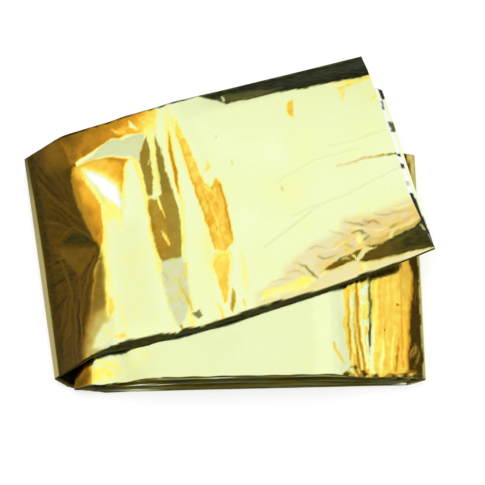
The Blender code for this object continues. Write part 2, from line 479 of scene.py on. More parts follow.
RIPPLE_WAVES = 7
RIPPLE_STRETCH = (0.7, 1.5)  # fewest and most waves in the length asked for


def ripple(x, y, length, seed):
    """Smooth uneven waves between about -1 and 1, of about that length."""
    draw = np.random.default_rng(seed)
    total = np.zeros(np.broadcast(x, y).shape)
    for _ in range(RIPPLE_WAVES):
        turn, phase = draw.uniform(0.0, 2.0 * math.pi, 2)
        stretch = draw.uniform(*RIPPLE_STRETCH)
        run_length = (x * math.cos(turn) + y * math.sin(turn)) * 2.0 * math.pi * stretch / length
        total += np.sin(run_length + phase)
    return total / math.sqrt(RIPPLE_WAVES)


def column(rows, number, at):
    """A table's column, worked out between its rows."""
    places = [row[0] for row in rows]
    return np.interp(at, places, [row[number] for row in rows])


def edge_rows(film, steps):
    """A number for every folded edge, so that each has its own stretch of the waves."""
    return film.ply * steps[0] + film.level * steps[1]


def lip_turn(x):
    return column(LIP, 1, x)


def shape_edges(film):
    """Bows the flap's edges, hangs its front lip, steps the plies at its end and unsettles the rest."""
    points = film.points.copy()
    x, across = points[:, 0].copy(), film.across
    flap = film.on("flap")
    points[:, 1] -= flap * column(FRONT_BOW, 1, x) * np.clip(-across, 0.0, 1.0) ** 2
    points[:, 1] += flap * column(BACK_BOW, 1, x) * np.clip(across, 0.0, 1.0) ** 2

    past_turn = lip_turn(x) - points[:, 1]
    points[:, 2] -= flap * column(LIP, 2, x) * smooth(past_turn, LIP_START, LIP_WIDTH)

    way = np.array(between(FLAP_END, across)) - between(CREASE, across)
    way /= np.linalg.norm(way, axis=-1)[:, None]
    inset = np.where(film.ply > 2.0, column(END_STEPS, 2, across), 0.0)
    inset = np.where((film.ply > 1.0) & (film.ply <= 2.0), column(END_STEPS, 1, across), inset)
    inset = np.maximum(inset, END_ROLL_INSET * smooth(across, *END_ROLL))
    points[:, :2] -= way * (flap * inset * smooth(film.along, 1.0 - END_TAPER, 1.0))[:, None]

    top = film.on(*TOP_PLACES)
    for left, full_from, full_to, right, front, back, puff in PUFFS:
        width = smooth(x, left, full_from) * (1.0 - smooth(x, full_to, right))
        points[:, 2] += top * puff * width * smooth(points[:, 1], front, back)

    stack = film.on("inner", "inner fold", *TOP_PLACES, "bed")
    strength = EDGE_WOBBLE + (EDGE_WOBBLE_LEFT - EDGE_WOBBLE) * smooth(-x, *WOBBLE_GROWS)
    wave = ripple(x, edge_rows(film, WOBBLE_ROWS), WOBBLE_LENGTH, seed=31)
    points[:, 1] += stack * strength * wave * smooth(np.abs(across), WOBBLE_ACROSS, 1.0)
    return film._replace(points=points)


# ---------------------------------------------------------------- facets and creases

# Tones of the film. Its light and dark reflections are painted on it as tones, facet by facet,
# so they stay where they are in other views and lights. Only the gloss over them is mirrored.
BLACK, OLIVE, BROWN, RUST, AMBER, ORANGE, GOLD, YELLOW, PALE, WHITE = (
    0.0, 0.18, 0.32, 0.42, 0.50, 0.58, 0.68, 0.78, 0.88, 1.0
)


class Facet(NamedTuple):
    """A place between creases, by its corners as (x, y, tone). Its name only tells the reader which."""

    name: str
    rise: float  # of its middle, or its depth where it is negative
    soft: float  # distance over which its edge fades
    dim: float  # how far its colour is painted darker, towards the shadow tone, as painted shade and dark reflection
    crumple: float  # how much painted reflection tone its small folds change
    corners: tuple
    tan: float = 0.0  # share of the duller tan that bent film shows, a painted reflection


class Crease(NamedTuple):
    """A ridge or trough along a route of (x, y, half-width, tone), with painted reflection tone and painted
    darkening.
    """

    name: str
    rise: float
    dim: float
    route: tuple
    tan: float = 0.0


FINEST = 0.42  # half-width of the thinnest crease that the mesh can hold
FINEST_COARSE = 1.3  # in the packet's plain middle
EDGE_FADE = 0.45  # share of a crease's half-width over which it fades
CREASE_FOOT = 1.6  # half-widths from its middle at which a crease has no rise left
CREASE_REACH = 2.0  # half-widths at which it is surely over
FACET_SHOULDER = 2.0  # distance over which a facet rises to its height
FACET_REACH = 6.0  # how far outside its corners a facet can still matter
CORNER_CORE = 0.6  # square millimetres that keep a corner's weight finite
CORNER_POWER = -1.5  # how its weight falls with the square of the distance

CRUMPLE_SIZE = 2.3
CRUMPLE_RISE = 1.4  # millimetres for a whole tone
CRUMPLE_SLOPE = 0.5  # how deep in a small facet its slope ends, as a share of its size
CRUMPLE_DIM = 0.5  # how much of the tone's crumpling the dimness takes
CRUMPLE_SHIFT = 0.48  # of a small facet's middle from its cell's, at most
CRUMPLE_CELLS = 61  # before the small facets repeat

# How far the marks' outlines wander, and over what length, in broad and in fine waves.
BROAD_WANDER, BROAD_LENGTH = 0.22, 11.0
FINE_WANDER, FINE_LENGTH = 0.10, 3.6


def crumpled(x, y, size, seed):
    """Small flat facets: for each point its facet's own value from -1 to 1, and how deep inside it lies."""
    draw = np.random.default_rng(seed)
    table = draw.uniform(-1.0, 1.0, (CRUMPLE_CELLS, CRUMPLE_CELLS, 3))
    column_number, row_number = np.floor(x / size).astype(int), np.floor(y / size).astype(int)
    nearest, second, value = np.full(x.shape, np.inf), np.full(x.shape, np.inf), np.zeros(x.shape)
    for right in (-1, 0, 1):
        for up in (-1, 0, 1):
            cell = table[(column_number + right) % CRUMPLE_CELLS, (row_number + up) % CRUMPLE_CELLS]
            away = np.hypot(
                column_number + right + 0.5 + CRUMPLE_SHIFT * cell[..., 0] - x / size,
                row_number + up + 0.5 + CRUMPLE_SHIFT * cell[..., 1] - y / size,
            )
            closer = away < nearest
            second = np.where(closer, nearest, np.minimum(second, away))
            value = np.where(closer, cell[..., 2], value)
            nearest = np.where(closer, away, nearest)
    return value, second - nearest


def to_line(x, y, start, end):
    """Distance from a stretch of line, and how far along it the nearest point lies, from 0 to 1."""
    dx, dy = end[0] - start[0], end[1] - start[1]
    share = np.clip(((x - start[0]) * dx + (y - start[1]) * dy) / (dx * dx + dy * dy), 0.0, 1.0)
    return np.hypot(x - start[0] - dx * share, y - start[1] - dy * share), share


def inside(x, y, corners):
    """Distance from a closed outline, positive inside it."""
    distance = np.full(x.shape, np.inf)
    within = np.zeros(x.shape, bool)
    for start, end in zip(corners, (*corners[1:], corners[0])):
        distance = np.minimum(distance, to_line(x, y, start, end)[0])
        (ax, ay), (bx, by) = start[:2], end[:2]
        if ay != by:
            crosses = (y < ay) != (y < by)
            within ^= crosses & (x < ax + (bx - ax) * (y - ay) / (by - ay))
    return np.where(within, distance, -distance)


def blended(x, y, corners):
    """The corners' tones, each strongest near its corner."""
    total, weights = np.zeros(x.shape), np.zeros(x.shape)
    for cx, cy, tone in corners:
        weight = ((x - cx) ** 2 + (y - cy) ** 2 + CORNER_CORE) ** CORNER_POWER
        total += weight * tone
        weights += weight
    return total / weights


class Dressing:
    """Painted reflection tone and darkening, and rise, of a set of the film's points, laid on facet by
    facet.
    """

    def __init__(self, x, y, tone, finest):
        self.finest = finest  # half-width below which a crease grows fainter instead of thinner
        self.x = x + BROAD_WANDER * ripple(x, y, BROAD_LENGTH, seed=11)
        self.y = y + BROAD_WANDER * ripple(x, y, BROAD_LENGTH, seed=12)
        self.x += FINE_WANDER * ripple(x, y, FINE_LENGTH, seed=13)
        self.y += FINE_WANDER * ripple(x, y, FINE_LENGTH, seed=14)
        self.tone = tone.copy()
        self.dim = np.zeros(x.shape)
        self.tan = np.zeros(x.shape)
        self.rise = np.zeros(x.shape)
        self.grain, self.depth = crumpled(x, y, CRUMPLE_SIZE, seed=21)

    def near(self, places, margin):
        xs, ys = [place[0] for place in places], [place[1] for place in places]
        return np.flatnonzero(
            (self.x > min(xs) - margin) & (self.x < max(xs) + margin)
            & (self.y > min(ys) - margin) & (self.y < max(ys) + margin)
        )

    def cover(self, here, share, tone, dim, tan):
        self.tone[here] += (tone - self.tone[here]) * share
        self.dim[here] += (dim - self.dim[here]) * share
        self.tan[here] += (tan - self.tan[here]) * share

    def facet(self, facet):
        here = self.near(facet.corners, FACET_REACH)
        x, y = self.x[here], self.y[here]
        depth = inside(x, y, facet.corners)
        share = smooth(depth, -facet.soft, facet.soft)
        tone = blended(x, y, facet.corners) + facet.crumple * self.grain[here]
        dim = facet.dim * (1.0 + CRUMPLE_DIM * facet.crumple * self.grain[here])
        self.cover(here, share, tone, dim, facet.tan)
        self.rise[here] += facet.rise * smooth(depth, 0.0, FACET_SHOULDER)
        crumple = share * facet.crumple * CRUMPLE_RISE * np.minimum(self.depth[here], CRUMPLE_SLOPE)
        self.rise[here] += crumple

    def crease(self, crease):
        widest = max(row[2] for row in crease.route)
        here = self.near(crease.route, max(widest, self.finest.max()) * CREASE_REACH)
        x, y = self.x[here], self.y[here]
        finest = self.finest[here]
        nearest, tone, strength = np.full(x.shape, np.inf), np.zeros(x.shape), np.ones(x.shape)
        for start, end in zip(crease.route, crease.route[1:]):
            distance, share = to_line(x, y, start, end)
            half_width = start[2] + (end[2] - start[2]) * share
            distance = distance / np.maximum(half_width, finest)
            closer = distance < nearest
            nearest = np.where(closer, distance, nearest)
            tone = np.where(closer, start[3] + (end[3] - start[3]) * share, tone)
            strength = np.where(closer, np.minimum(half_width / finest, 1.0), strength)
        edge = 1.0 - smooth(nearest, 1.0 - EDGE_FADE, 1.0 + EDGE_FADE)
        self.cover(here, edge * strength, tone, crease.dim, crease.tan)
        self.rise[here] += crease.rise * strength * np.clip(1.0 - nearest / CREASE_FOOT, 0.0, 1.0)

    def lay(self, marks):
        for mark in marks:
            if isinstance(mark, Facet):
                self.facet(mark)
            elif isinstance(mark, Crease):
                self.crease(mark)
            else:
                self.lay(fan_creases(mark))


class Fan(NamedTuple):
    """Fine uneven creases that spread from a point to a far line."""

    name: str
    apex: tuple[float, float]
    first: tuple[float, float]  # ends of the far line
    last: tuple[float, float]
    count: int
    half_width: float
    tone: float
    dims: tuple[float, float]
    seed: int


FAN_SPREAD = (0.1, 0.9)  # where in its own share of the far line a crease points
FAN_START = (0.12, 0.55)  # of the way from the apex to the far line
FAN_END = (0.7, 1.0)
FAN_SHORTEST = 0.2  # of that way
FAN_BEND = 0.8  # of its middle, in millimetres
FAN_WIDTHS = (0.6, 1.4)  # of the fan's half-width
FAN_TAPER = (0.5, 0.6)  # of the crease's own, at its two ends
FAN_RISE = (-0.15, 0.2)


def fan_creases(fan):
    """The fan's creases, each uneven in its own way."""
    draw = np.random.default_rng(fan.seed)
    apex, first, last = (np.array(point, float) for point in (fan.apex, fan.first, fan.last))
    for number in range(fan.count):
        far = first + (last - first) * (number + draw.uniform(*FAN_SPREAD)) / fan.count
        near, reach = draw.uniform(*FAN_START), draw.uniform(*FAN_END)
        start, end = apex + (far - apex) * near, apex + (far - apex) * max(reach, near + FAN_SHORTEST)
        middle = (start + end) / 2.0 + draw.uniform(-FAN_BEND, FAN_BEND, 2)
        width, tone = fan.half_width * draw.uniform(*FAN_WIDTHS), fan.tone
        widths = (width * FAN_TAPER[0], width, width * FAN_TAPER[1])
        route = [(*point, half_width, tone) for point, half_width in zip((start, middle, end), widths)]
        yield Crease(fan.name, draw.uniform(*FAN_RISE), draw.uniform(*fan.dims), tuple(route))


def creases(name, rise, dim, routes, tan=0.0):
    """Creases that differ only in their routes."""
    return [Crease(name, rise, dim, route, tan) for route in routes]


def one_tone(tone, places):
    """Corners with the same tone."""
    return tuple((*place, tone) for place in places)


# The marks are laid in the order in which they stand, and each covers those before it.
SLOPE_MARKS = (
    Facet("slope", 0, 0.4, 0.885, 0.05, (
        (-101, 62, 0.57), (-90, 10, 0.56), (-84, -54, 0.56), (-69.5, -54, 0.56), (-68.8, -42, 0.56),
        (-67, -18, 0.56), (-65.5, -3, 0.56), (-62.2, 8, 0.56), (-66.6, 15, 0.56), (-69.2, 24, 0.56),
        (-74, 39, 0.56), (-73.5, 50, 0.57), (-77, 58, 0.57), (-83, 66, 0.57),
    )),
    Fan("slope fold", (-61, 8), (-95, 54), (-84, -44), 34, 0.5, 0.56, (0.82, 0.96), 5),
    Fan("slope streak", (-73, 14), (-84, -48), (-68.5, -48), 18, 0.45, 0.57, (0.8, 0.96), 6),
    Fan("slope back streak", (-70, 20), (-95, 56), (-78, 56), 14, 0.45, 0.56, (0.84, 0.95), 7),
    Fan("slope side streak", (-58, 4), (-93, 20), (-88, -16), 12, 0.45, 0.57, (0.8, 0.95), 8),
    Facet("slope edge", 0, 0.9, 0.94, 0.04, one_tone(0.6, (
        (-97, 60), (-95.5, 54.5), (-88.6, 14.3), (-82.6, -30), (-83.5, -54), (-79.6, -54), (-79.4, -30),
        (-85.6, 13.8), (-92.4, 53.5), (-93.5, 60),
    ))),
    Facet("slope glow", 0.2, 0.8, 0.79, 0.05, one_tone(0.57, (
        (-82.5, 10.8), (-74, 8.9), (-64.5, 7.6), (-66.4, 3.8), (-68.6, 0.4), (-71.7, -4.8), (-75.6, 0.8),
        (-79, 5.4),
    ))),
    Facet("slope shade", -0.3, 0.5, 0.95, 0.03, one_tone(0.66, (
        (-80.6, 12.9), (-77.2, 15.4), (-74.1, 16.2), (-70, 14.4), (-66.4, 11.4), (-64, 9), (-70.4, 10.4),
        (-76, 11.8),
    ))),
    Facet("slope nick", -0.3, 0.5, 0.945, 0.03, one_tone(0.64, (
        (-78, -1.8), (-75.6, -1.2), (-74.4, -4.6), (-76.4, -6),
    ))),
    Crease("slope line", 0.3, 0.835, (
        (-83.4, 11.8, 0.2, 0.58), (-78.6, 16.2, 0.35, 0.6), (-74.4, 18.9, 0.45, 0.6),
        (-69.6, 15.2, 0.4, 0.6), (-64.4, 9.4, 0.2, 0.58),
    )),
    Crease("slope line", 0.3, 0.82, (
        (-83.4, 11.2, 0.2, 0.57), (-80, 3.6, 0.35, 0.58), (-76.4, -6, 0.4, 0.58), (-74, -20, 0.3, 0.57),
        (-73, -34, 0.15, 0.57),
    )),
    Crease("slope line", 0.3, 0.8, (
        (-64.4, 6.4, 0.2, 0.58), (-67.4, -2.4, 0.4, 0.6), (-69.8, -12, 0.35, 0.58), (-71, -26, 0.15, 0.57),
    )),
    Crease("slope line", 0.3, 0.87, (
        (-74.4, 18.9, 0.15, 0.58), (-80.5, 25, 0.35, 0.58), (-86, 29, 0.15, 0.57),
    )),
    Crease("slope notch", -0.2, 0.95, (
        (-83, 45.6, 0.4, 0.66), (-79, 46.6, 0.7, 0.66), (-75.5, 46, 0.4, 0.66),
    )),
    Facet("slope foot pale", 0.1, 1.6, 0.05, 0.05, (
        (-60.4, -17, 0.84), (-60, -24, 0.87), (-56, -38, 0.88), (-66, -50, 0.88), (-68.6, -47, 0.86),
        (-67.4, -40, 0.86), (-64, -31, 0.85), (-61.2, -23, 0.82),
    )),
    Facet("slope foot", 0, 1.8, 0.72, 0.03, (
        (-62.2, 6, 0.62), (-61.3, 0, 0.63), (-60.6, -8, 0.64), (-60.4, -18, 0.66), (-61.4, -25, 0.68),
        (-63.6, -32, 0.68), (-65.8, -38, 0.68), (-67.8, -44, 0.66), (-68.6, -26, 0.62), (-67.2, -16, 0.62),
        (-66, -6, 0.62), (-64.2, 2, 0.62),
    )),
    Facet("foot haze", 0.1, 3.2, 0.36, 0.06, (
        (-66.8, -24, 0.68), (-60.4, -20, 0.71), (-58.8, -27, 0.76), (-59.8, -34, 0.78), (-62.6, -40, 0.8),
        (-66.6, -45.5, 0.78), (-69.4, -46, 0.7), (-68.6, -34, 0.66),
    ), 0.25),
    Facet("foot gold", 0.1, 2.2, 0.4, 0.08, (
        (-67.8, -27.5, 0.68), (-62.8, -22.5, 0.76), (-62.6, -29, 0.8), (-65.2, -35, 0.8),
        (-67.4, -40, 0.78), (-69.4, -41.7, 0.7), (-69.2, -33.7, 0.64),
    ), 0.25),
)

CREST_MARKS = (
    Facet("tongue", 0, 5, 0.045, 0.01, (
        (-57, 18, 0.865), (-46, 20, 0.865), (-40, -6, 0.862), (-38, -26, 0.865), (-56, -30, 0.868),
    )),
    Facet("back corner", 0.3, 0.45, 0, 0.02, (
        (-88, 64, 0.29), (-80, 58, 0.34), (-75.4, 46.5, 0.41), (-69, 50.5, 0.46), (-63, 54.5, 0.48),
        (-58, 58.4, 0.49), (-54.5, 58, 0.48), (-51, 60, 0.56), (-47, 60.5, 0.6), (-43.5, 61, 0.67),
        (-41.5, 66, 0.68), (-41, 75, 0.58), (-50, 73, 0.46), (-60, 69, 0.46), (-70, 65, 0.43),
        (-79, 64, 0.35),
    )),
    Facet("corner shade", 0, 4, 0.72, 0.02, one_tone(0.56, (
        (-88, 66), (-84, 62), (-79, 57), (-75.5, 48), (-76.5, 46), (-86, 47),
    ))),
    Facet("back spots", 0.2, 0.5, 0, 0.07, (
        (-58, 60.5, 0.56), (-54, 63, 0.58), (-49, 67.5, 0.58), (-44, 69, 0.66), (-43.5, 62.5, 0.74),
        (-50, 61, 0.66), (-55, 59.5, 0.58),
    )),
    *creases("back spark", 0.2, 0, (
        ((-50.2, 66.5, 0.3, 0.8), (-49, 63.8, 0.8, 0.94), (-46.5, 62.2, 0.5, 0.8)),
        ((-57.5, 62.5, 0.3, 0.66), (-55.5, 61, 0.5, 0.76), (-53, 60.6, 0.3, 0.66)),
    )),
    Facet("back yellow", 0.3, 0.6, 0, 0.03, (
        (-43.5, 60.5, 0.81), (-41, 58, 0.8), (-38.8, 60, 0.8), (-37.5, 75, 0.79), (-42, 73, 0.7),
        (-44, 66, 0.7),
    )),
    Facet("pale patch", 0.2, 0.3, 0.2, 0.015, (
        (-72, 45.8, 0.82), (-66, 50.5, 0.87), (-60, 57.2, 0.88), (-56.5, 58.2, 0.88), (-53, 57.3, 0.88),
        (-48, 59.8, 0.88), (-43.3, 60.8, 0.88), (-44.4, 55, 0.88), (-45.9, 50, 0.88), (-45.6, 46.5, 0.88),
        (-47.5, 48.5, 0.88), (-49.5, 50, 0.88), (-52, 49.8, 0.88), (-57, 50.8, 0.88), (-63, 49.5, 0.88),
    )),
    Facet("gold wedge", 0.2, 0.7, 0, 0.01, (
        (-75, 45.5, 0.54), (-71.8, 42, 0.61), (-67, 35, 0.62), (-63.6, 30, 0.6), (-62.3, 22, 0.55),
        (-61.9, 12, 0.52), (-62.2, 7.3, 0.5), (-66.4, 14, 0.44), (-70, 23, 0.44), (-74.9, 38, 0.46),
    )),
    Crease("wedge shade", -0.1, 0.5, (
        (-75, 42, 0.6, 0.6), (-72.6, 32, 1.3, 0.6), (-69.2, 22, 1.3, 0.6), (-64.8, 11, 0.6, 0.6),
    )),
    Facet("gold blob", 0.6, 0.35, 0, 0.02, (
        (-74.5, 44.8, 0.62), (-70, 47, 0.65), (-66, 48.5, 0.64), (-57, 50, 0.6), (-50.8, 48.4, 0.61),
        (-51.6, 44, 0.6), (-53, 36, 0.62), (-52.4, 27, 0.78), (-53.3, 20, 0.8), (-56, 22, 0.8),
        (-60.8, 26, 0.78), (-63.2, 31, 0.72), (-66.5, 36.5, 0.72),
    )),
    Facet("orange facet", 0.3, 0.7, 0, 0.02, (
        (-60.5, 49.2, 0.54), (-51.8, 48.2, 0.51), (-53, 38, 0.54), (-58, 43.5, 0.62),
    )),
    Facet("hot glow", 0.2, 1.6, 0, 0, (
        (-71, 44.6, 0.74), (-66, 44, 0.8), (-60, 41.5, 0.82), (-55, 37, 0.8), (-53.2, 30, 0.8),
        (-53, 20, 0.8), (-57, 22, 0.8), (-61.6, 27, 0.8), (-63.6, 32, 0.8), (-67.5, 37.5, 0.8),
        (-71, 42, 0.76),
    )),
    Facet("hot spot", 0.2, 1.1, 0, 0, (
        (-70.5, 44, 0.92), (-65.5, 42.6, 1), (-60, 39.6, 1), (-55.4, 35, 1), (-53.2, 29, 1),
        (-53.4, 23.8, 0.95), (-57.4, 27, 1), (-62, 32.2, 1), (-67, 38.4, 1),
    )),
    Facet("hot yellow", 0, 1.1, 0, 0.01, (
        (-62.3, 29.5, 0.81), (-58, 28.5, 0.8), (-54.8, 26, 0.8), (-53.6, 20, 0.8), (-56, 21, 0.8),
        (-59, 19, 0.81), (-61, 20, 0.8),
    )),
    *creases("yellow drip", 0.1, 0, (
        ((-54.6, 21, 0.9, 0.8), (-54, 15.5, 0.6, 0.83)),
        ((-58.6, 20, 0.8, 0.81), (-58.2, 16.5, 0.4, 0.84)),
    )),
    Crease("crest glow", 0.1, 0, ((-63.2, 28, 0.4, 0.58), (-62.5, 20, 0.6, 0.55), (-62.3, 9, 0.3, 0.5))),
    Crease("yellow streak", 0.15, 0, (
        (-60.9, 30, 1.2, 0.8), (-60.5, 12, 0.8, 0.8), (-60.6, 2, 0.9, 0.8), (-59.3, -8, 1, 0.8),
        (-60, -16, 0.8, 0.8), (-59.9, -23, 0.4, 0.83),
    )),
    Facet("orange drop", 0.1, 0.6, 0, 0.03, (
        (-59.6, -14, 0.7), (-57.5, -16, 0.73), (-57, -21, 0.71), (-58.2, -24.5, 0.76), (-59.6, -22, 0.68),
    )),
    Crease("tongue foot", 0.1, 0, (
        (-58, -8, 0.12, 0.81), (-56.5, -13, 0.22, 0.81), (-54.5, -20, 0.3, 0.81), (-52, -28, 0.45, 0.81),
        (-50.8, -33, 0.3, 0.84),
    )),
    # painted reflection: a gold patch at the tongue's foot
    Facet("foot stain", 0.1, 0.8, 0, 0.03, (
        (-57.5, -32.6, 0.74), (-53, -31.5, 0.72), (-51.5, -33.3, 0.76), (-55, -34, 0.78),
    ), 0.3),
    Facet("foot crumple", 0.1, 0.9, 0.06, 0.05, (
        (-67, -38, 0.87), (-62, -27, 0.86), (-58.5, -26, 0.86), (-57, -33, 0.87), (-62, -38, 0.87),
    )),
    Crease("tongue top", 0.3, 0, (
        (-52.5, 26, 0.4, 0.82), (-52.4, 36, 0.5, 0.8), (-51.4, 46, 0.5, 0.8), (-49.5, 48.8, 0.5, 0.8),
        (-47.3, 47.5, 0.7, 0.78), (-45.4, 41, 0.8, 0.78), (-43.9, 35, 0.8, 0.79), (-42, 25, 0.8, 0.79),
        (-40.8, 15, 0.8, 0.78), (-39.3, 5, 0.7, 0.79), (-37.8, -2, 0.6, 0.79), (-36, -10, 0.6, 0.79),
        (-34.3, -17, 0.5, 0.81), (-32.5, -25, 0.3, 0.85),
    )),
)

